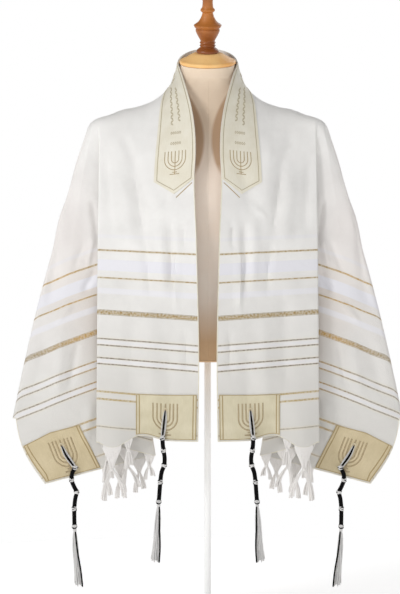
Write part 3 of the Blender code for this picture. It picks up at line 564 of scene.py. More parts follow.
BEAD_SECTION = np.array(((-1.0, -0.3), (-0.8, 0.62), (0.0, 1.0), (0.8, 0.62), (1.0, -0.3)))


def bead(mesh, path, normals, half_width, height, finish=0):
    """A low rounded line of stitches that lies on a surface along a path."""
    path, normals = np.asarray(path, float), np.asarray(normals, float)
    across = np.cross(normals, np.gradient(path, axis=0))
    across /= np.maximum(np.linalg.norm(across, axis=1)[:, None], TINY)
    out, up = (BEAD_SECTION * (half_width, height)).T
    points = path[:, None] + out[:, None] * across[:, None] + up[:, None] * normals[:, None]
    places = np.stack(np.broadcast_arrays(lengths(path)[:, None], out), axis=2)
    faces = [face[::-1] for face in closed_faces(len(path), len(out))]
    mesh.add(points.reshape(-1, 3), faces, finish, places.reshape(-1, 2))


def shell(mesh, points, normals, faces, low, high, places):
    """A closed thin wall from a sheet of triangles, between two distances along its normals."""
    count = len(points)
    edges = np.concatenate([faces[:, [0, 1]], faces[:, [1, 2]], faces[:, [2, 0]]])
    found = np.unique(np.sort(edges, axis=1), axis=0, return_index=True, return_counts=True)
    rim = edges[found[1][found[2] == 1]]
    made = list(faces) + [face[::-1] + count for face in faces]
    made += [(b, a, a + count, b + count) for a, b in rim]
    both = np.concatenate([points + normals * high, points + normals * low])
    mesh.add(both, made, 0, np.concatenate([places, places]))


# ---- materials ----


def srgb(red, green, blue):
    """A colour as it is seen on a screen, made linear."""
    parts = [value / 255 for value in (red, green, blue)]
    linear = [x / 12.92 if x <= 0.04045 else ((x + 0.055) / 1.055) ** 2.4 for x in parts]
    return (*linear, 1.0)


class Value:
    """A number, colour or place that a material works out at each point of a surface."""

    def __init__(self, finish, socket):
        self.finish, self.socket = finish, socket

    def work(self, operation, other=0.0):
        return self.finish.value("ShaderNodeMath", {0: self, 1: other}, operation=operation)

    __add__, __sub__ = partialmethod(work, "ADD"), partialmethod(work, "SUBTRACT")
    __mul__, __abs__ = partialmethod(work, "MULTIPLY"), partialmethod(work, "ABSOLUTE")

    def __rsub__(self, other):
        return self.finish.value("ShaderNodeMath", {0: other, 1: self}, operation="SUBTRACT")

    def wave(self, length):
        return (self * (2 * math.pi / length)).work("SINE")

    def span(self, low, high, to_low=0.0, to_high=1.0):
        """One range brought to another, and held at its ends."""
        inputs = {0: self, 1: low, 2: high, 3: to_low, 4: to_high}
        return self.finish.value("ShaderNodeMapRange", inputs)


class Finish:
    """A material and the nodes that give it its detail."""

    def __init__(self, name, roughness, **constants):
        self.material = bpy.data.materials.new(name)
        self.material.use_nodes = True
        self.tree = self.material.node_tree
        self.shader = self.tree.nodes["Principled BSDF"].inputs
        self.shader["Roughness"].default_value = roughness
        for socket, value in constants.items():
            self.shader[socket.replace("_", " ")].default_value = value
        self.last_bump = None

    def node(self, kind, inputs, **settings):
        made = self.tree.nodes.new(kind)
        for key, value in settings.items():
            setattr(made, key, value)
        for key, value in inputs.items():
            if isinstance(value, Value):
                self.tree.links.new(value.socket, made.inputs[key])
            else:
                made.inputs[key].default_value = value
        return made

    def value(self, kind, inputs, output=0, **settings):
        return Value(self, self.node(kind, inputs, **settings).outputs[output])

    def split(self, place):
        parts = self.node("ShaderNodeSeparateXYZ", {0: place})
        return [Value(self, output) for output in parts.outputs]

    def cut(self):
        """A point's place, and its parts: along the stripes' measure, and across."""
        place = self.value("ShaderNodeUVMap", {}, uv_map="cut")
        return place, *self.split(place)[:2]

    def stretched(self, place, scale):
        return self.value("ShaderNodeMapping", {"Vector": place, "Scale": scale})

    def space(self, scale=(1.0, 1.0, 1.0)):
        """The point's place in the object's own space, stretched."""
        return self.stretched(self.value("ShaderNodeTexCoord", {}, "Object"), scale)

    def noise(self, vector, scale, detail=3.0, roughness=0.55):
        inputs = {"Vector": vector, "Scale": scale, "Detail": detail, "Roughness": roughness}
        return self.value("ShaderNodeTexNoise", inputs)

    def along_stripes(self, down, stops):
        """A strength that changes with the measure, through stops of (place, strength)."""
        made = self.node("ShaderNodeValToRGB", {0: down.work("DIVIDE", STRIPE_SPAN)})
        elements = made.color_ramp.elements
        while len(elements) < len(stops):
            elements.new(0.5)
        for element, (place, _) in zip(elements, stops):
            element.position = place / STRIPE_SPAN
        for element, (_, strength) in zip(elements, stops):
            element.color = (1.0, 1.0, 1.0, strength)
        return Value(self, made.outputs["Alpha"])

    def mix(self, share, first, second):
        inputs = {0: share, 6: first, 7: second}
        return self.value("ShaderNodeMix", inputs, 2, data_type="RGBA")

    def give(self, socket, value):
        self.tree.links.new(value.socket, self.shader[socket])

    def bump(self, height, distance):
        inputs = {"Height": height, "Distance": distance, "Strength": 1.0}
        if self.last_bump is not None:
            inputs["Normal"] = self.last_bump
        self.last_bump = self.value("ShaderNodeBump", inputs)
        self.give("Normal", self.last_bump)


# The stripes, a row for each: its middle's distance from the hem, its half width and its colour
GOLD, OLIVE, GREY = srgb(168, 142, 92), srgb(162, 134, 76), srgb(170, 160, 146)
PALE_GOLD, BROWN, STRIPE_EDGE = srgb(184, 160, 110), srgb(126, 114, 94), srgb(142, 118, 68)
STRIPES = (
    (0.0320, 0.0014, GREY),
    (0.0873, 0.0021, PALE_GOLD),
    (0.1022, 0.0021, PALE_GOLD),
    (0.1580, 0.0016, BROWN),
    (0.1700, 0.0016, BROWN),
    (0.1960, 0.0016, BROWN),
    (0.2087, 0.0016, BROWN),
    (0.2579, 0.0008, STRIPE_EDGE),
    (0.2625, 0.0038, OLIVE),
    (0.2671, 0.0008, STRIPE_EDGE),
    (0.3325, 0.0016, GOLD),
    (0.3885, 0.0019, GOLD),
)
# Each satin band's two edges, and how clearly it shows
SATIN_BANDS = (
    (0.159, 0.169, 0.6), (0.197, 0.208, 0.5), (0.301, 0.311, 0.7), (0.3477, 0.3691, 1.0),
    (0.414, 0.42, 0.35),
)
STRIPE_SPAN, STRIPE_SHEAR = 0.45, 0.0212
# The stripes lie a little nearer the hem beyond the fold: by this much, and by this much for each
# metre down towards the corner of the cut, less on its outer side
OUTER_SHIFT, OUTER_SHIFT_WIDTH = 0.0020, 0.05
CORNER_PULL, CORNER_PULL_OUTSIDE = 0.026, 0.35
SATIN_SOFTNESS, LINE_SOFTNESS, HALO, THIN_LINE = 0.0012, 0.0005, 0.0035, 0.001
WEAVE, LINEN_WEAVE = 0.0016, 0.0014


def woven_cloth():
    """White wool with gold lines and satin bands across both ends."""
    made = Finish("woven_cloth", 0.82, Sheen_Weight=0.25, Sheen_Roughness=0.45)
    place, down, over = made.cut()
    halos, bands = [(0.0, 0.0)], [(0.0, 0.0)]
    for middle, half_width, _ in STRIPES:
        if half_width > THIN_LINE:
            reach = half_width + HALO
            halos += [(middle - reach, 0.0), (middle, 1.0), (middle + reach, 0.0)]
    for start, end, strength in SATIN_BANDS:
        bands += [(start - SATIN_SOFTNESS, 0.0), (start, strength)]
        bands += [(end, strength), (end + SATIN_SOFTNESS, 0.0)]
    halo, satin = made.along_stripes(down, halos), made.along_stripes(down, bands)
    broad = made.noise(place, 9.0).span(0.35, 0.65)
    soft = made.noise(place, 22.0, 4.0, 0.6).span(0.36, 0.62)
    wool = made.mix(broad, srgb(231, 229, 226), srgb(242, 240, 237))
    wool = made.mix(soft * 0.3, wool, srgb(247, 246, 243))
    # Painted shade: greyer towards the hem, where less light falls, and a little darker and rosier
    # outside the fold, where the cloth turns away from the light
    wool = made.mix(down.span(0.02, 0.38, 0.95, 0.0), wool, srgb(218, 215, 209))
    painted_rose_shade = over.span(0.23, 0.31, 0.0, 0.38) * down.span(0.20, 0.46)
    wool = made.mix(painted_rose_shade, wool, srgb(230, 219, 215))
    # Painted shadow: a soft warm shadow of the front panel on the hanging cloth between the fold
    # and the corner
    shade = over.span(0.23, 0.28) * over.span(0.42, 0.34)
    shade = shade * down.span(0.04, 0.16) * down.span(0.43, 0.34, 0.0, 0.35)
    wool = made.mix(shade, wool, srgb(214, 198, 184))
    wool = made.mix(satin, wool, srgb(231, 230, 235))
    painted = made.mix(halo * 0.22, wool, srgb(236, 216, 160))
    # Painted sheen: the gold thread is warmer by the folds and greyer towards the outer edge, as
    # its metal catches the light
    outward = over.span(0.36, 0.54, 0.0, 0.65)
    painted_warm_sheen = over.span(0.30, 0.36, 0.0, 0.45) * over.span(0.46, 0.38)
    dashes = made.noise(place, 260.0, 2.0).span(0.40, 0.62, 0.5, 1.0)
    lines = 0.0
    for middle, half_width, colour in STRIPES:
        line = abs(down - middle).span(half_width, half_width - LINE_SOFTNESS)
        yarn = made.mix(painted_warm_sheen, made.mix(outward, colour, GREY), srgb(222, 168, 70))
        painted = made.mix(line * dashes, painted, yarn)
        lines = line.work("MAXIMUM", lines)
    made.give("Base Color", painted)
    made.give("Roughness", 0.82 - (satin * 0.36 + lines * 0.3))
    made.bump(down.wave(WEAVE) * over.wave(WEAVE) * (1.0 - satin), 0.00012)
    made.bump(lines, 0.00035)
    made.bump(made.noise(place, 34.0), 0.0009)
    return made.material


def satin_cloth(name, light, dark, rib=0.0011, sheen=0.35):
    """A fine satin with a faint rib and soft uneven patches."""
    made = Finish(name, 0.48, Sheen_Weight=sheen, Sheen_Roughness=0.35)
    place, down, over = made.cut()
    patches = made.noise(place, 30.0)
    slub = made.noise(made.stretched(place, (1.0, 14.0, 1.0)), 60.0, 2.0)
    tone = (patches * 0.6 + slub * 0.4).span(0.36, 0.64)
    made.give("Base Color", made.mix(tone, dark, light))
    made.give("Roughness", slub.span(0.3, 0.7, 0.40, 0.58))
    made.bump((down + over).wave(rib), 0.00008)
    made.bump(patches, 0.0006)
    return made.material


def thread(name, light, dark, pitch, roughness, sheen=0.2, shine=0.5):
    """Twisted thread: light and dark turn along it."""
    made = Finish(name, roughness, Sheen_Weight=sheen, Specular_IOR_Level=shine)
    place, run, round_it = made.cut()
    twist = (run + round_it).wave(pitch)
    fibres = made.noise(place, 420.0, 2.0)
    tone = twist.span(-1.0, 1.0, 0.0, 0.6) + fibres * 0.4
    made.give("Base Color", made.mix(tone, dark, light))
    made.bump(twist, 0.00018)
    made.bump(fibres, 0.0002)
    return made.material


# Painted shadow: beside the collar the linen is darker where the collar shades it, beyond a bright
# middle that widens above and below a height
COLLAR_HEIGHT, BRIGHT_HALF_WIDTH, BRIGHT_GROWTH = 1.010, 0.0065, 3.4


def form_linen():
    made = Finish("form_linen", 0.85, Sheen_Weight=0.3)
    place = made.space()
    out, depth, height = made.split(place)
    slubs = made.noise(made.space((1.0, 1.0, 9.0)), 240.0, 2.0)
    tone = (made.noise(place, 9.0) * 0.7 + slubs * 0.3).span(0.35, 0.65)
    cover = made.mix(tone, srgb(252, 234, 217), srgb(255, 243, 230))
    cover = made.mix(height.span(0.94, 1.04, 0.0, 0.7), cover, srgb(238, 214, 184))
    # Painted shade: darker and browner towards the bottom, where the form lies deep behind the
    # cloth
    cover = made.mix(height.span(0.68, 0.60), cover, srgb(222, 186, 146))
    # The painted shadow beside the collar, on the front of the form only
    above = height - COLLAR_HEIGHT
    bright = above * above * BRIGHT_GROWTH + BRIGHT_HALF_WIDTH
    beside = (abs(out) - bright).span(-0.002, 0.004, 0.0, 0.9) * height.span(0.93, 0.96)
    shaded = made.mix(beside * depth.span(-0.01, -0.03), cover, srgb(196, 160, 126))
    made.give("Base Color", shaded)
    made.bump(height.wave(LINEN_WEAVE), 0.00010)
    made.bump(slubs, 0.0003)
    return made.material


def wood(name, light, dark, roughness, stretch):
    """Turned and lacquered wood: long wavering grain, with fine pores."""
    made = Finish(name, roughness, Coat_Weight=0.08, Coat_Roughness=0.12)
    waver = made.noise(made.space((1.0, 1.0, 0.4)), 14.0)
    inputs = {"Vector": made.space((1.0, 1.0, stretch)), "Scale": 7.0, "Distortion": 5.0}
    inputs |= {"Detail": 3.0, "Detail Scale": 1.6}
    rings = {"wave_type": "RINGS", "rings_direction": "X"}
    grain = made.value("ShaderNodeTexWave", inputs, "Fac", **rings)
    pores = made.noise(made.space((30.0, 30.0, 1.2)), 22.0, 3.0, 0.7)
    stained = made.mix((grain * 0.5 + waver * 0.5).span(0.25, 0.75), dark, light)
    darker = (*(value * 0.55 for value in dark[:3]), 1.0)
    made.give("Base Color", made.mix(pores.span(0.58, 0.78, 0.0, 0.5), stained, darker))
    made.give("Roughness", grain.span(0.0, 1.0, roughness - 0.06, roughness + 0.08))
    made.bump(pores, 0.00012)
    return made.material


def white_paint():
    made = Finish("stand_paint", 0.3, Coat_Weight=0.6, Coat_Roughness=0.2)
    place = made.space()
    soft = made.noise(place, 16.0)
    made.give("Base Color", made.mix(soft, srgb(252, 252, 251), srgb(254, 254, 253)))
    made.give("Roughness", soft.span(0.3, 0.7, 0.26, 0.36))
    made.bump(made.noise(place, 320.0, 2.0), 0.00010)
    return made.material


CLOTH = woven_cloth()
HEM = satin_cloth("cloth_hem", srgb(244, 240, 226), srgb(228, 220, 196), 0.0012, 0.2)
BAND = satin_cloth("band_satin", srgb(240, 235, 219), srgb(231, 224, 204))
PATCH_INNER = satin_cloth("patch_satin_inner", srgb(224, 215, 187), srgb(211, 201, 170))
# Darker and tanner than the inner patch: partly the satin's own colour, partly painted shade
PATCH_OUTER = satin_cloth("patch_satin_outer", srgb(220, 204, 168), srgb(207, 190, 152))
PATCH_THREAD = thread("patch_thread", srgb(170, 140, 92), srgb(124, 98, 58), 0.0022, 0.45)
GOLD_THREAD = thread("gold_thread", srgb(196, 172, 124), srgb(146, 120, 74), 0.0022, 0.42)
BAND_THREAD = thread("band_thread", srgb(206, 194, 164), srgb(166, 150, 116), 0.0022, 0.42)
PALE_THREAD = thread("pale_thread", srgb(240, 232, 208), srgb(198, 176, 130), 0.0020, 0.42)
WHITE_YARN = thread("white_yarn", srgb(238, 237, 236), srgb(196, 194, 192), 0.0030, 0.75)
BLACK_YARN = thread("black_yarn", srgb(14, 13, 15), srgb(3, 3, 4), 0.0030, 0.8, 0.0, 0.15)
FRINGE_YARN = thread("fringe_yarn", srgb(248, 245, 242), srgb(228, 224, 220), 0.0034, 0.75)
LINEN = form_linen()
CAP_WOOD = wood("cap_wood", srgb(255, 208, 138), srgb(245, 183, 108), 0.48, 0.35)
FINIAL_WOOD = wood("finial_wood", srgb(186, 113, 44), srgb(136, 72, 22), 0.46, 0.30)
PAINT = white_paint()

# ---- the shawl's cloth ----


def corner_pull(down, over):
    """How much the stripes are pulled towards the hem near the corner of the cut."""
    middle = math.atan2(WIDTH - PANEL_WIDTH, HALF_LENGTH - APEX_U)
    angles = np.arctan2(over - PANEL_WIDTH, np.maximum(down - APEX_U, SAME_POINT))
    inside = np.clip((angles - LINES[TUCK].angle) / (middle - LINES[TUCK].angle), 0.0, 1.0) ** 2
    rays = (middle, LINES[WING].angle, math.pi / 2)
    outside = np.interp(angles, rays, (1.0, CORNER_PULL_OUTSIDE, 0.0))
    return CORNER_PULL * np.maximum(down - APEX_U, 0.0) * inside * outside


def cut_places(places):
    """The stripes' measure up from the hem, and the distance from the neck edge."""
    down, over = places.T
    shear = STRIPE_SHEAR * np.clip(1 - over / PANEL_WIDTH, 0.0, 1.0)
    outer = OUTER_SHIFT * smooth_step((over - PANEL_WIDTH) / OUTER_SHIFT_WIDTH)
    level = (down - APEX_U) / (HALF_LENGTH - APEX_U)
    lift = table_curve(HEM_SHAPE, over)[:, 0] * smooth_step((level - 1) / HEM_SHAPE_HEIGHT + 1)
    lift = np.where(over < PANEL_WIDTH, lift, 0.0)
    measure = HALF_LENGTH - down + shear + outer + corner_pull(down, over) + lift
    return np.column_stack([measure, over])


def shawl_cloth():
    """Both halves as one sheet of triangles, joined down the middle of the back."""
    count = len(half.points)
    other = np.arange(count, 2 * count)
    other[half.middle] = np.flatnonzero(half.middle)
    faces = np.concatenate([half.faces, other[half.faces][:, ::-1]])
    used, which = np.unique(faces, return_inverse=True)
    points = np.concatenate([half.points, half.points * MIRROR])[used]
    normals = np.concatenate([half.normals, half.normals * MIRROR])[used]
    places = cut_places(np.concatenate([half.places, half.places])[used])
    mesh = Mesh()
    shell(mesh, points, normals, which.reshape(faces.shape), -WALL / 2, WALL / 2, places)
    return make_piece("cloth", mesh, [CLOTH], "shawl_cloth")


HEM_ROLL, HEM_ROLL_END, HEM_START, HEM_STEPS = 0.0012, 0.8, 0.40, 90


def shawl_hems():
    """The rolled edge down the open front, and along the two short ends and the outer edge."""
    mesh = Mesh()
    front = [half.on_panel(u, 0.0)[0] for u in np.linspace(HEM_START, HALF_LENGTH, HEM_STEPS)]
    for flip in (1.0, MIRROR):
        tube(mesh, np.array(front) * flip, HEM_ROLL)
        for grid in (half.panel, half.skirt):
            tube(mesh, half.points[grid[-1]] * flip, HEM_ROLL * HEM_ROLL_END)
    return make_piece("cloth_hem", mesh, [HEM])


def laid_grid(surface, us, edges, columns):
    """Points, normals and places of a piece that lies on the cloth, between two edges."""
    found = [[], [], []]
    for u in us:
        for v in np.linspace(*edges(u), columns):
            for part, value in zip(found, (*surface(u, v), (u, v))):
                part.append(value)
    return [np.array(part).reshape(len(us), columns, -1) for part in found]


def grid_shell(mesh, grids, low, high):
    """A wall from a grid's points, normals and places."""
    rows, columns = grids[0].shape[:2]
    points, normals, places = (grid.reshape(rows * columns, -1) for grid in grids)
    faces = grid_faces(np.arange(rows * columns).reshape(rows, columns))
    shell(mesh, points, normals, faces, low, high, places)


def line_on(mesh, face, path, stitch, flip=1.0):
    """A line of stitches through places on the cut.

    Its face is a surface and a height off it, and its stitch is a half width, a height, a thread
    and the length of a step.
    """
    (surface, rise), (half_width, height, finish, step) = face, stitch
    path = np.array(path, float)
    run = lengths(path)
    at = np.linspace(0, run[-1], max(int(run[-1] / step), 1) + 1)
    found = [surface(u, v, rise) for u, v in pick(path, run, at)]
    points, normals = (np.array(part) * flip for part in zip(*found))
    bead(mesh, points, normals, half_width, height, finish)


def menorah_lines(centre, tops, radii, foot, base, base_half):
    """The seven-armed lampstand on the cut: three pairs of round arms, a stem and a foot."""
    stem_u, stem_v = centre
    turn = np.linspace(0, math.pi / 2, 12)
    lines = []
    for radius in radii:
        for side in (-radius, radius):
            bend = zip(stem_u + radius * np.sin(turn), stem_v + side * np.cos(turn))
            lines.append([(tops, stem_v + side), *bend])
    lines.append([(tops, stem_v), (base, stem_v)])
    lines.append([(foot, stem_v - base_half / 2), (foot, stem_v + base_half / 2)])
    lines.append([(base, stem_v - base_half), (base, stem_v + base_half)])
    return lines


# ---- the neckband ----

BAND_WIDTH, BAND_END, BAND_TIP, BAND_BLUNT = 0.082, 0.403, 0.430, 0.995
BAND_RISE, BAND_WALL = WALL / 2 + 0.0004, 0.0012
BAND_ROWS, BAND_TIP_ROWS, BAND_COLUMNS = 120, 10, 14


def band_edges(u):
    """The band's two edges at this place: it narrows to a point at its end."""
    narrow = max(u - BAND_END, 0.0) / (BAND_TIP - BAND_END) * BAND_WIDTH / 2 * BAND_BLUNT
    return narrow, BAND_WIDTH - narrow


def atarah():
    """The band from tip to tip: one half's rows and their mirror images, the middle row shared."""
    tip = np.linspace(BAND_END, BAND_TIP, BAND_TIP_ROWS)[1:]
    us = np.concatenate([np.linspace(0, BAND_END, BAND_ROWS), tip])
    grids = laid_grid(half.on_panel, us, band_edges, BAND_COLUMNS)
    turns = (MIRROR, MIRROR, (-1.0, 1.0))
    grids = [np.concatenate([grid[:0:-1] * turn, grid]) for grid, turn in zip(grids, turns)]
    mesh = Mesh()
    grid_shell(mesh, grids, BAND_RISE, BAND_RISE + BAND_WALL)
    return make_piece("neckband", mesh, [BAND], "atarah")


def vine_lines(start, end, middle, sway, wave):
    """A plain winding stem with a small bud at each turn."""
    us = np.linspace(start, end, max(int((end - start) / wave * 12), 12))
    vs = middle + sway * np.sin((us - start) / wave * 2 * math.pi)
    lines = [np.column_stack([us, vs])]
    for k in range(int((end - start) / wave * 2)):
        u = start + (k + 0.5) * wave / 2
        side = sway if k % 2 == 0 else -sway
        lines.append([(u, middle + side * 0.1), (u + 0.004, middle - side * 0.9)])
    return lines


ON_BAND, ON_CLOTH = (half.on_panel, BAND_RISE + BAND_WALL), (half.on_panel, WALL / 2 + 0.0001)
BAND_TRIM_IN = 0.0058
# A second short line of thread on the cloth, under the band's point: a painted shadow of the band's
# edge
BAND_SHADOW_LINE = ((0.4375, 0.037), (0.4105, 0.004))
# The winding stems: each one's start, end, middle, sway and wave length
BAND_VINES = (
    (0.196, 0.282, 0.032, 0.0026, 0.013), (0.19, 0.288, 0.049, 0.0026, 0.013),
    (0.0, 0.176, 0.041, 0.006, 0.024),
)
BAND_MENORAH = ((0.360, 0.041), 0.344, (0.0075, 0.0143, 0.0212), 0.386, 0.390, 0.010)
# Two rows of small lozenges: how far each row is along, and a lozenge's spacing and half sizes
BAND_MARKS, MARK_SPACING, MARK_HALF = (0.306, 0.328), 0.0046, (0.0030, 0.0018)
MARK_CORNERS = ((-1, 0), (0, 1), (1, 0), (0, -1), (-1, 0))
BAND_EDGE_STITCH, BAND_TIP_STITCH = (0.0008, 0.0005, 0, 0.004), (0.0008, 0.0005, 0, 0.0025)
SHADOW_LINE_STITCH, LAMP_STITCH = (0.0009, 0.0006, 1, 0.0025), (0.0008, 0.0006, 1, 0.0015)
VINE_STITCH, MARK_STITCH = (0.0007, 0.0005, 0, 0.0015), (0.0005, 0.0004, 0, 0.0012)


def band_trims():
    """The stitched lines inside the band's edges, its menorahs and a plain winding ornament."""
    mesh = Mesh()
    tip, corner = BAND_TIP - BAND_TRIM_IN * 1.25, BAND_END - BAND_TRIM_IN * 0.30
    for flip in (1.0, MIRROR):
        for v in (BAND_TRIM_IN, BAND_WIDTH - BAND_TRIM_IN):
            line_on(mesh, ON_BAND, [(0.0, v), (corner, v)], BAND_EDGE_STITCH, flip)
            slant = [(corner, v), (tip, BAND_WIDTH / 2)]
            line_on(mesh, ON_BAND, slant, BAND_TIP_STITCH, flip)
        line_on(mesh, ON_CLOTH, BAND_SHADOW_LINE, SHADOW_LINE_STITCH, flip)
        for line in menorah_lines(*BAND_MENORAH):
            line_on(mesh, ON_BAND, line, LAMP_STITCH, flip)
        for row in BAND_VINES:
            for line in vine_lines(*row):
                line_on(mesh, ON_BAND, line, VINE_STITCH, flip)
        for u in BAND_MARKS:
            for k in range(-2, 3):
                middle = (u, BAND_WIDTH / 2 + k * MARK_SPACING)
                mark = np.array(MARK_CORNERS) * MARK_HALF + middle
                line_on(mesh, ON_BAND, mark, MARK_STITCH, flip)
    return make_piece("neckband_stitching", mesh, [BAND_THREAD, GOLD_THREAD])


# ---- the corner patches ----

PATCH_WIDTH, PATCH_HEIGHT, PATCH_MARGIN = 0.1195, 0.0895, 0.0025
PATCH_RISE, PATCH_WALL = WALL / 2 + 0.0007, 0.0010
PATCH_ROWS, PATCH_COLUMNS = 22, 28
PATCH_BOTTOM = HALF_LENGTH - PATCH_MARGIN
PATCH_TOP = PATCH_BOTTOM - PATCH_HEIGHT
# The lines inside a patch's sides: how far in each is, and its stitch
PATCH_SIDE_LINES = (
    (0.0014, (0.0008, 0.0006, 0, 0.0025)), (0.0070, (0.0011, 0.0006, 0, 0.0025)),
)
SIDE_LINE_ENDS, END_LINE_IN, END_LINE_ENDS = 0.001, 0.0012, 0.0015
END_STITCH, RING_STITCH = (0.0006, 0.0004, 0, 0.0025), (0.0017, 0.0012, 1, 0.001)
PATCH_LAMP_STITCHES = ((0.0005, 0.0009, 1, 0.0015), (0.0014, 0.0005, 2, 0.0015))
PATCH_MENORAH = (0.846, (0.0088, 0.0160, 0.0238), 0.904, 0.909, 0.012)
MENORAH_U, RING_RADIUS = 0.876, 0.0040


def patch(name, kind, mirrored):
    def edges(u):
        return kind.sides[0] + kind.taper * (PATCH_BOTTOM - u) / PATCH_HEIGHT, kind.sides[1]

    mesh = Mesh()
    rows = np.linspace(PATCH_TOP, PATCH_BOTTOM, PATCH_ROWS)
    grids = laid_grid(kind.surface, rows, edges, PATCH_COLUMNS)
    grid_shell(mesh, grids, PATCH_RISE, PATCH_RISE + PATCH_WALL)
    replaced = f"patch_{kind.name}_{name}"
    name = f"{kind.name}_patch_{name}"
    return make_piece(name, mesh, [kind.finish], replaced, mirrored)


def patch_stitching(name, kind, mirrored):
    mesh = Mesh()
    face = (kind.surface, PATCH_RISE + PATCH_WALL)
    first, last = kind.sides
    for inset, stitch in PATCH_SIDE_LINES:
        for v, slant in ((first + inset, kind.taper), (last - inset, 0.0)):
            line = [(PATCH_TOP + SIDE_LINE_ENDS, v + slant), (PATCH_BOTTOM - SIDE_LINE_ENDS, v)]
            line_on(mesh, face, line, stitch)
    for u, slant in ((PATCH_TOP + END_LINE_IN, kind.taper), (PATCH_BOTTOM - END_LINE_IN, 0.0)):
        line = [(u, first + slant + END_LINE_ENDS), (u, last - END_LINE_ENDS)]
        line_on(mesh, face, line, END_STITCH)
    for line in menorah_lines((MENORAH_U, kind.hole[1]), *PATCH_MENORAH):
        for stitch in PATCH_LAMP_STITCHES:
            line_on(mesh, face, line, stitch)
    turn = np.linspace(0, 2 * math.pi, 19)
    ring = np.column_stack([np.sin(turn), np.cos(turn)]) * RING_RADIUS + kind.hole
    line_on(mesh, face, ring, RING_STITCH)
    threads = [GOLD_THREAD, PALE_THREAD, PATCH_THREAD]
    name = f"{kind.name}_patch_stitching_{name}"
    return make_piece(name, mesh, threads, None, mirrored)


# ---- the tassels ----

# A row for each place down a cord: how far outward, how far down, its radius
INNER_CORD = mm(
    (0, 0, 2.2), (1.4, 16, 2.4), (5.4, 54, 5.2), (4.9, 68, 3.6), (3.7, 79, 5.2), (1.4, 92, 3.6),
    (2.2, 109, 5.6), (6.9, 122, 3.6), (9.9, 143, 5.4), (11.4, 162, 3.6), (12.9, 182, 5.6),
    (13.4, 190, 4.6),
)
OUTER_CORD = mm(
    (0, 0, 2.2), (-8, 16, 2.4), (-28, 44, 5.2), (-22, 56, 3.6), (-21, 68, 5.4), (-25.5, 81, 3.6),
    (-31, 93, 5.6), (-28.5, 106, 3.6), (-26.5, 127, 5.4), (-26.5, 144, 3.6), (-27, 163, 5.6),
    (-27.5, 171, 4.6),
)
CORD_CLEAR, HOLE_SIDE, CORD_GAP = 0.0062, 0.030, 0.0003
TASSEL_LENGTH, FIRST_KNOT, KNOT_RADIUS = 0.112, 2, 0.0055
CORD_POINTS, WOUND_POINTS, CORD_END = 161, 70, (0.0032, 0.0038, 0.0028)


def face_depth(near, out, height):
    """How far back the face through three points is, at this place across and up."""
    start, first, second = near
    sides = np.array([first - start, second - start])
    shares = np.linalg.solve(sides[:, [0, 2]].T, np.array([out - start[0], height - start[2]]))
    return start[1] + shares @ sides[:, 1]


def cord_centres(kind):
    """The middle of a tassel's cord, from the hole over the patch and down past the hem."""
    (hole_u, hole_v), rise = kind.hole, PATCH_RISE + PATCH_WALL + CORD_GAP
    places = ((hole_u, hole_v), (HALF_LENGTH, hole_v), (hole_u, hole_v + kind.beside))
    near = [kind.surface(u, v, rise)[0] for u, v in places]
    hole, hem, _ = near
    centres = []
    for out_shift, drop, radius in kind.cord:
        out, height = hole[0] + out_shift, hole[2] - drop
        clear = radius if height > hem[2] + CORD_CLEAR else CORD_CLEAR
        centres.append((out, face_depth(near, out, max(height, hem[2])) - clear, height))
    return np.array(centres)


def smooth_path(points, count):
    run = lengths(points)
    return through(run, points, np.linspace(0, run[-1], count))


# A row for each turn of a knot's cord: its place along, its slant, its size and its yarn
KNOT_TURNS = (
    (-0.0018, 0.34, 0.92, 0), (0.0018, -0.3, 0.95, 0), (0.0, 0.62, 1.0, 1),
    (0.0004, -0.55, 0.9, 0), (-0.0006, 0.1, 1.04, 0),
)
# The rings of a knot's core: their places along, and their shares of the knot's radius
KNOT_CORE = mm(-3.6, -1.2, 1.2, 3.6), np.array((0.45, 0.7, 0.7, 0.45))
KNOT_CORD = 0.0015


def knot(mesh, middle, way, radius, shuffle, one_yarn=False):
    """A double knot: turns of the cord pulled tight over each other."""
    way = unit(way)
    first = unit(np.cross(way, (0.2, 1.0, 0.1)))
    second = np.cross(way, first)
    for shift, slant, size, finish in KNOT_TURNS:
        turn = shuffle.uniform(0, 2 * math.pi)
        ring = []
        for angle in np.linspace(0, 2 * math.pi, 15):
            across = math.cos(angle) * first + math.sin(angle) * second
            wave = slant * radius * math.sin(angle + turn)
            ring.append(middle + (shift + wave) * way + across * (radius * size - KNOT_CORD))
        tube(mesh, ring, KNOT_CORD, 6, 0 if one_yarn else finish)
    places, shares = KNOT_CORE
    tube(mesh, middle + places[:, None] * way, shares * radius, 8)


TASSEL_THREADS, TASSEL_ROOT, TASSEL_FOOT = 17, 0.0022, 0.0090
# Radius, sides, yarn, pitch and ridge of the free threads, and of the black winding
WHITE_CORD, BLACK_CORD = (0.0015, 6, 0, 0.0032, 0.0004), (0.0018, 6, 1, 0.0032, 0.0003)
WINDING = (0.0046, 12, 1, 0.0017, 0.0008)
GOLDEN_ANGLE = math.pi * (3 - math.sqrt(5))
SPREAD_POWER, SWAY_POWER = 0.8, 1.3


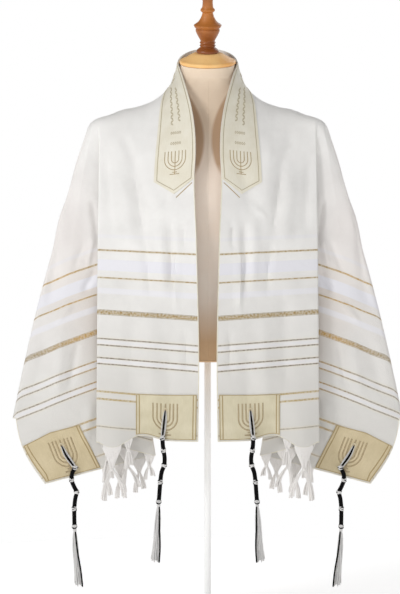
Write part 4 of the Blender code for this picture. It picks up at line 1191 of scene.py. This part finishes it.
def tassel_threads(mesh, end, sway, shuffle):
    """The free ends: a brush of soft white threads that spreads downwards, and a black one."""
    parts = np.linspace(0, 1, 15)
    asides, spread = sway * parts**SWAY_POWER, parts**SPREAD_POWER
    wave = np.sin(parts * 2 * math.pi)
    wide = TASSEL_ROOT + (TASSEL_FOOT - TASSEL_ROOT) * spread[:, None]
    for k in range(TASSEL_THREADS):
        reach, angle = math.sqrt((k + 0.5) / TASSEL_THREADS), k * GOLDEN_ANGLE
        across = np.array((math.cos(angle), 0.6 * math.sin(angle), 0.0)) * reach
        length = TASSEL_LENGTH * shuffle.uniform(0.92, 1.0)
        swing = shuffle.uniform(-0.0016, 0.0016)
        hung = np.column_stack([asides + swing * wave, 0 * parts, -length * parts])
        tube(mesh, end + across * wide + hung, *WHITE_CORD)
    out = asides - 0.0066 * spread + 0.0010 * wave - 0.0016
    hung = np.column_stack([out, -0.0030 - 0.0048 * parts, -TASSEL_LENGTH * 0.99 * parts])
    tube(mesh, end + hung, *BLACK_CORD)


# The doubled cord through the patch's hole: how far aside each strand is, how far forward, its yarn
HOLE_STRANDS = (
    (-1.0, 0.0, 0), (1.0, 0.0, 0), (0.15, 0.0009, 1), (-0.3, 0.0006, 1), (0.45, -0.0003, 0),
)
STRAND_POINTS, HOLE_STRAND_RADIUS, STRANDS_APART = 26, 0.0012, (0.0006, 0.0034)


def hole_strands(mesh, centres):
    """The loose strands from the hole to the first knot, that widen on their way."""
    path = smooth_path(centres, STRAND_POINTS)
    across = np.cross(frames_along(path)[0], (0.0, -1.0, 0.0))
    across /= np.linalg.norm(across, axis=1)[:, None]
    parts = np.clip(np.linspace(0, 1, STRAND_POINTS)[:, None] * 1.04, 0, 1)
    bow = STRANDS_APART[0] + STRANDS_APART[1] * np.sin(parts**0.8 * math.pi * 0.80)
    for aside, forward, finish in HOLE_STRANDS:
        moved = path + across * bow * aside - (0.0, forward, 0.0)
        tube(mesh, moved, HOLE_STRAND_RADIUS, 6, finish, 0.003, 0.0003)


def tzitzit(name, kind, mirrored):
    """A tassel: a cord wound in black between double knots, and its free ends."""
    mesh = Mesh()
    shuffle = random.Random(10)
    centres = cord_centres(kind)
    hole_strands(mesh, centres[: FIRST_KNOT + 1])
    path = smooth_path(centres[FIRST_KNOT:], CORD_POINTS)
    run = lengths(path)
    marks = lengths(centres[FIRST_KNOT:])
    marks = marks / marks[-1] * run[-1]
    for k in range(0, len(marks) - 1, 2):
        row = int(np.argmin(np.abs(run - marks[k])))
        way = path[min(row + 2, len(path) - 1)] - path[max(row - 2, 0)]
        if k + 2 < len(marks):
            inside = (run >= marks[k]) & (run <= marks[k + 2])
            tube(mesh, smooth_path(path[inside], WOUND_POINTS), *WINDING)
        knot(mesh, path[row], way, KNOT_RADIUS * shuffle.uniform(0.94, 1.06), shuffle)
    end = centres[-1]
    tube(mesh, [path[-14], path[-1], end - (0, 0, 0.004)], CORD_END, 10)
    tassel_threads(mesh, end - (0, 0, 0.002), kind.sway, shuffle)
    yarns, replaced = [WHITE_YARN, BLACK_YARN], f"tzitzit_{kind.name}_{name}"
    return make_piece(f"{kind.name}_tassel_{name}", mesh, yarns, replaced, mirrored)


# ---- the fringe ----

# A row for each bundle along the hem: its middle on the cut, half its width there, how far down it
# is gathered, its inner and its outer leg as (how far outward, how long), and its threads
FRINGE_BUNDLES = (
    (0.168, 0.018, 0.044, (-0.023, 0.102), (0.014, 0.108), 18),
    (0.136, 0.008, 0.02, (-0.004, 0.052), (0.003, 0.06), 6),
    (0.262, 0.02, 0.036, (-0.02, 0.078), (0.008, 0.086), 16),
    (0.303, 0.01, 0.024, (-0.006, 0.044), (0.006, 0.052), 7),
    (0.225, 0.014, 0.03, (-0.006, 0.07), (0.005, 0.078), 10),
    (0.355, 0.016, 0.03, (-0.008, 0.062), (0.006, 0.07), 10),
    (0.395, 0.016, 0.03, (-0.006, 0.06), (0.006, 0.072), 10),
    (0.426, 0.01, 0.026, (-0.006, 0.058), (0.005, 0.066), 8),
)
GATHERED, LEG_HALF, STRAND_RADIUS, FRINGE_KNOT = 0.0030, 0.0015, 0.0016, 0.0040
GATHER_DEPTH, LEG_DEPTH, SHORTEST, LEG_POWER = 0.0016, 0.0024, 0.93, 1.8
STRAND_PITCH, STRAND_RIDGE = 0.0036, 0.0003
STRAND_TAPER = ((0, 0.3, 0.45, 0.7, 1.0), (1.1, 0.9, 0.6, 1.0, 1.1))


def hem_point(v):
    return (half.on_panel if v <= PANEL_WIDTH else half.on_skirt)(HALF_LENGTH, v)[0]


def fringe_strand(root, middle, gather, leg, share, shuffle):
    """A strand from the hem through its bundle's gather, and on down in one of the two legs."""
    sway, length = leg
    gathered = middle + (share * GATHERED, shuffle.uniform(-GATHER_DEPTH, GATHER_DEPTH), -gather)
    fan = (2 * abs(share) - 1) * LEG_HALF * math.copysign(1.0, sway) * 2
    depth = shuffle.uniform(-LEG_DEPTH, LEG_DEPTH)
    drop = (length - gather) * shuffle.uniform(SHORTEST, 1.0)
    down = np.linspace(0, 1, 9)[:-1]
    above = root + (gathered - root) * np.column_stack([smooth_step(down), smooth_step(down), down])
    down = np.linspace(0, 1, 10)
    aside = (sway + fan) * (1 - (1 - down) ** LEG_POWER)
    hung = np.column_stack([aside, depth * down, -drop * down])
    return np.concatenate([above, gathered + hung])


def fringe(name, mirrored):
    mesh = Mesh()
    shuffle = random.Random(11)
    for place, half_width, gather, inner_leg, outer_leg, threads in FRINGE_BUNDLES:
        middle = hem_point(place)
        for k in range(threads):
            share = (k + 0.5) / threads * 2 - 1
            root = hem_point(place + share * half_width)
            outward = math.copysign(abs(share), root[0] - middle[0])
            leg = outer_leg if outward > 0 else inner_leg
            path = fringe_strand(root, middle, gather, leg, outward, shuffle)
            radii = STRAND_RADIUS * np.interp(np.linspace(0, 1, len(path)), *STRAND_TAPER)
            tube(mesh, path, radii, 5, 0, STRAND_PITCH, STRAND_RIDGE)
        gathered = middle - (0, 0, gather)
        knot(mesh, gathered, np.array((0.0, 0.0, -1.0)), FRINGE_KNOT, shuffle, True)
    replaced, name = f"fringe_{name}", f"fringe_threads_{name}"
    return make_piece(name, mesh, [FRINGE_YARN], replaced, mirrored)


# ---- the form and its stand ----

# A row for each level: height, half width, half depth, middle, tilt in degrees
FORM_SECTIONS = (
    (0.559, 0.147, 0.093, 0.0, 0), (0.562, 0.15, 0.096, 0.0, 0), (0.61, 0.145, 0.093, 0.0, 0),
    (0.68, 0.138, 0.088, 0.0, 0), (0.76, 0.141, 0.091, 0.0, 0), (0.84, 0.15, 0.097, 0.0, 0),
    (0.92, 0.163, 0.1, 0.0, 0), (0.98, 0.176, 0.092, 0.004, 0), (1.023, 0.187, 0.078, 0.008, 0),
    (1.047, 0.19, 0.064, 0.008, 0), (1.0655, 0.18, 0.052, 0.006, 0),
    (1.0744, 0.158, 0.045, 0.003, 0), (1.0833, 0.1385, 0.0435, 0.002, 0),
    (1.0923, 0.1159, 0.043, 0.002, 0), (1.1066, 0.0936, 0.044, 0.002, 2),
    (1.1238, 0.0756, 0.048, 0.002, 5), (1.14, 0.0655, 0.052, 0.001, 9),
    (1.153, 0.059, 0.053, 0.0, 14), (1.175, 0.056, 0.0532, 0.0, 18),
)
FORM_SQUARENESS, FORM_SIDES, FORM_STEP, FORM_UNDER_CLOTH = 2.25, 96, 0.012, 0.0014
# The cloth lies on the form from this height, over this much of it, up to the bare neck
COVERED_FROM, COVERED_OVER, BARE_NECK, BARE_OVER = 0.93, 0.05, 1.150, 0.01
SEAM_ENDS, SEAM_HALF_WIDTH, SEAM_HEIGHT, ROUND_SEAM = (0.562, 1.145), 0.0011, 0.0005, 0.0012
NECK_TILT, NECK_TOP = math.radians(18), 1.175
POLE_RADIUS, POLE_SEAT, FIT = 0.007, 0.060, 0.0003


def form_ring(section, grow=0.0):
    """A level's outline, squarer than an ellipse, tilted forward."""
    height, half_width, half_depth, middle, tilt = section
    way = circle(FORM_SIDES)
    way = np.sign(way) * np.abs(way) ** (2 / FORM_SQUARENESS)
    out, depth = (way * (half_width + grow, half_depth + grow)).T
    return np.column_stack([out, middle + depth, height + depth * math.tan(math.radians(tilt))])


def under_cloth(height):
    """How far the form is drawn in where the cloth lies on it."""
    return FORM_UNDER_CLOTH * smooth_step((height - COVERED_FROM) / COVERED_OVER)


def form_body():
    bottom, second = np.array(FORM_SECTIONS[:2])
    heights = [section[0] for section in FORM_SECTIONS]
    levels = []
    for low, high in zip(heights, heights[1:]):
        steps = max(int((high - low) / FORM_STEP), 2)
        levels += np.linspace(low, high, steps, endpoint=False).tolist()
    levels.append(heights[-1])
    rings = []
    for level, row in zip(levels, table_curve(FORM_SECTIONS[1:], levels)):
        if level < second[0]:
            share = (level - bottom[0]) / (second[0] - bottom[0])
            row = share * (second - bottom)[1:] + bottom[1:]
        shown = smooth_step((BARE_NECK - level) / BARE_OVER)
        rings.append(form_ring((level, *row), -under_cloth(level) * shown))
    mesh = Mesh()
    mesh.add(np.concatenate(rings), ring_faces(len(rings), FORM_SIDES))
    under = [rings[0] * (share, share, 1.0) for share in (1.0, 0.7, 0.4)]
    bore = np.column_stack([circle(FORM_SIDES) * (POLE_RADIUS + FIT), np.zeros(FORM_SIDES)])
    under += [bore + (0.0, 0.0, heights[0] + rise) for rise in (0.0, POLE_SEAT)]
    faces = [face[::-1] for face in closed_faces(len(under), FORM_SIDES)[:-2]]
    faces.append(tuple(range(4 * FORM_SIDES, 5 * FORM_SIDES))[::-1])
    mesh.add(np.concatenate(under), faces)
    mesh.add(rings[-1], [tuple(range(FORM_SIDES))])
    return make_piece("dress_form", mesh, [LINEN], "form_torso")


def form_seams():
    """The raised seam down the middle of the front and of the back, and round the underside."""
    mesh = Mesh()
    heights = np.linspace(*SEAM_ENDS, 80)
    _, half_depth, middle, tilt = table_curve(FORM_SECTIONS[1:], heights).T
    for side in (-1.0, 1.0):
        depth = side * (half_depth - under_cloth(heights))
        rise = depth * np.tan(np.radians(tilt))
        path = np.column_stack([0 * heights, middle + depth, heights + rise])
        bead(mesh, path, [(0.0, side, 0.0)] * len(path), SEAM_HALF_WIDTH, SEAM_HEIGHT)
    ring = form_ring(FORM_SECTIONS[1], 0.0002)
    tube(mesh, np.concatenate([ring, ring[:1]]), ROUND_SEAM)
    return make_piece("dress_form_seams", mesh, [LINEN])


def rounded(points, keep=0.82):
    """A profile with its corners cut softly twice, its ends kept."""
    for share in (keep, 0.75):
        start, end = points[:-1], points[1:]
        cuts = (share * start + (1 - share) * end, (1 - share) * start + share * end)
        made = np.stack(cuts, axis=1).reshape(-1, 2)
        points = np.concatenate([points[:1], made, points[-1:]])
    return points


def lathe(name, profile, sides, finish, replaced, place=(0.0, 0.0, 0.0), tilt=0.0):
    """A turned piece. Its profile runs up its outside from axis to axis."""
    turn = Matrix.Translation(place) @ Matrix.Rotation(tilt, 4, "X")
    mesh = Mesh()
    points = []
    for radius, rise in profile:
        for x, y in circle(sides) * max(radius, 1e-5):
            points.append(turn @ Vector((x, y, rise)))
    mesh.add(points, closed_faces(len(profile), sides))
    return make_piece(name, mesh, [finish], replaced, False, 35)


# Profiles: radius, height
CAP_PROFILE = mm(
    (0, 0.3), (57, 0.3), (58.4, 1.6), (58.4, 6), (56, 8.4), (52, 9.6), (40, 16), (28, 23.2),
    (0, 23.2),
)
FINIAL_PROFILE = mm(
    (0, 0), (23.2, 0), (23.6, 2.4), (22.2, 5.6), (17.2, 9.8), (14.6, 11.2), (14.6, 12),
    (17.1, 14.6), (14.6, 17.2), (14.6, 18.2), (17.1, 20.8), (14.4, 23.6), (15.4, 26.2),
    (20.8, 35.6), (24.8, 44.4), (25, 48), (23.6, 49), (23.6, 50), (26, 51.2), (28.8, 56),
    (28.4, 57.4), (21.4, 62), (17.6, 66), (13.6, 73), (11.2, 80.5), (10.8, 82.6), (14.9, 86),
    (14.9, 89.2), (11.3, 93), (10.3, 105), (11.8, 113), (9, 121), (0, 124),
)
BASE_PROFILE = mm(
    (0, 0), (156, 0), (160, 3), (159, 8), (140, 12), (40, 18), (22, 22), (18, 40), (7.3, 40),
    (7.3, 10), (0, 10),
)
CAP_HEIGHT, POLE_FOOT, POLE_END_RADIUS = 0.0232, 0.0103, 0.0064


def form_and_stand():
    form_body()
    form_seams()
    cap, finial = rounded(CAP_PROFILE), rounded(FINIAL_PROFILE)
    place = (0.0, 0.0, NECK_TOP)
    lathe("neck_cap", cap, 72, CAP_WOOD, "form_neck_cap", place, NECK_TILT)
    foot = CAP_HEIGHT + FIT
    place = (0.0, -foot * math.sin(NECK_TILT), NECK_TOP + foot * math.cos(NECK_TILT))
    lathe("finial", finial, 64, FINIAL_WOOD, "form_finial", place, NECK_TILT)
    top = FORM_SECTIONS[0][0] + POLE_SEAT - FIT
    pole = [(0.0, POLE_FOOT), (POLE_END_RADIUS, POLE_FOOT), (POLE_RADIUS, 0.0110)]
    pole += [(POLE_RADIUS, height) for height in np.linspace(0.012, top - 0.001, 30)]
    pole += [(POLE_END_RADIUS, top), (0.0, top)]
    lathe("pole", pole, 40, PAINT, "stand_pole")
    lathe("base", rounded(BASE_PROFILE, 0.9), 96, PAINT, "stand_base")


# ---- everything in its place ----

# What is different about the inner and the outer corners of the cloth
KINDS = (
    Kind(
        name="inner",
        surface=half.on_panel,
        sides=(PATCH_MARGIN, PATCH_MARGIN + PATCH_WIDTH),
        taper=0.0,
        finish=PATCH_INNER,
        hole=(HALF_LENGTH - 0.060, 0.064),
        beside=HOLE_SIDE,
        cord=INNER_CORD,
        sway=0.007,
    ),
    Kind(
        name="outer",
        surface=half.on_skirt,
        sides=(WIDTH - PATCH_MARGIN - PATCH_WIDTH, WIDTH - PATCH_MARGIN),
        taper=0.010,
        finish=PATCH_OUTER,
        hole=(HALF_LENGTH - 0.062, WIDTH - 0.062),
        beside=-HOLE_SIDE,
        cord=OUTER_CORD,
        sway=-0.008,
    ),
)

cloth = shawl_cloth()
cloth_pieces = [shawl_hems()]
band = atarah()
stitching = band_trims()
for word, mirrored in (("left", True), ("right", False)):
    for kind in KINDS:
        made = patch(word, kind, mirrored)
        sewn = [patch_stitching(word, kind, mirrored)]
        tzitzit(word, kind, mirrored)
    cloth_pieces.append(fringe(word, mirrored))
form_and_stand()

# ---- the studio ----

FLOOR_RADIUS, FLOOR_SIDES, FLOOR_BELOW, FLOOR_GLOW = 1.4, 96, 0.0005, 0.55
WHITE = (1.0, 1.0, 1.0, 1.0)
# The sky's height where its light starts and stops fading, and its strength below and above
SKY_FADE = (0.17, 0.40, 1.0, 0.17)
# name, place, aim, size, power
LIGHTS = (
    ("key_left", (-2.4, -2.3, 2.8), (0.0, 0.0, 0.95), 1.0, 49),
    ("front_fill", (0.0, -3.4, 1.4), (0.0, 0.0, 0.9), 0.8, 7),
    ("back_right", (1.6, 2.6, 3.0), (0.0, 0.0, 0.95), 2.4, 26),
)


def floor():
    """A round pale floor that meets the light sky with no edge to be seen."""
    data = bpy.data.meshes.new("floor")
    points = [(x, y, -FLOOR_BELOW) for x, y in circle(FLOOR_SIDES) * FLOOR_RADIUS]
    data.from_pydata(points, [], [tuple(range(FLOOR_SIDES))])
    paper = Finish("floor_paper", 0.9, Emission_Strength=FLOOR_GLOW, Emission_Color=WHITE)
    soft = paper.noise(paper.space(), 0.8, 2.0)
    paper.give("Base Color", paper.mix(soft, srgb(250, 250, 250), srgb(254, 254, 254)))
    data.materials.append(paper.material)
    add_object("floor", data)


def sky():
    """A pale light from all round, brighter near the horizon."""
    world = bpy.data.worlds.new("studio")
    world.use_nodes = True
    nodes, links = world.node_tree.nodes, world.node_tree.links
    shade = nodes["Background"].inputs
    shade["Color"].default_value = WHITE
    split, fade = nodes.new("ShaderNodeSeparateXYZ"), nodes.new("ShaderNodeMapRange")
    links.new(nodes.new("ShaderNodeTexCoord").outputs["Generated"], split.inputs[0])
    for key, value in enumerate(SKY_FADE, 1):
        fade.inputs[key].default_value = value
    links.new(split.outputs[2], fade.inputs[0])
    links.new(fade.outputs[0], shade["Strength"])
    bpy.context.scene.world = world


def area_light(name, place, aim, size, power):
    data = bpy.data.lights.new(name, "AREA")
    data.shape, data.size, data.energy = "DISK", size, power
    made = add_object(name, data)
    made.location = place
    made.rotation_euler = (Vector(aim) - Vector(place)).to_track_quat("-Z", "Y").to_euler()


floor()
for light in LIGHTS:
    area_light(*light)
sky()
bpy.context.scene.view_settings.view_transform = "Standard"

bpy.context.view_layer.update()
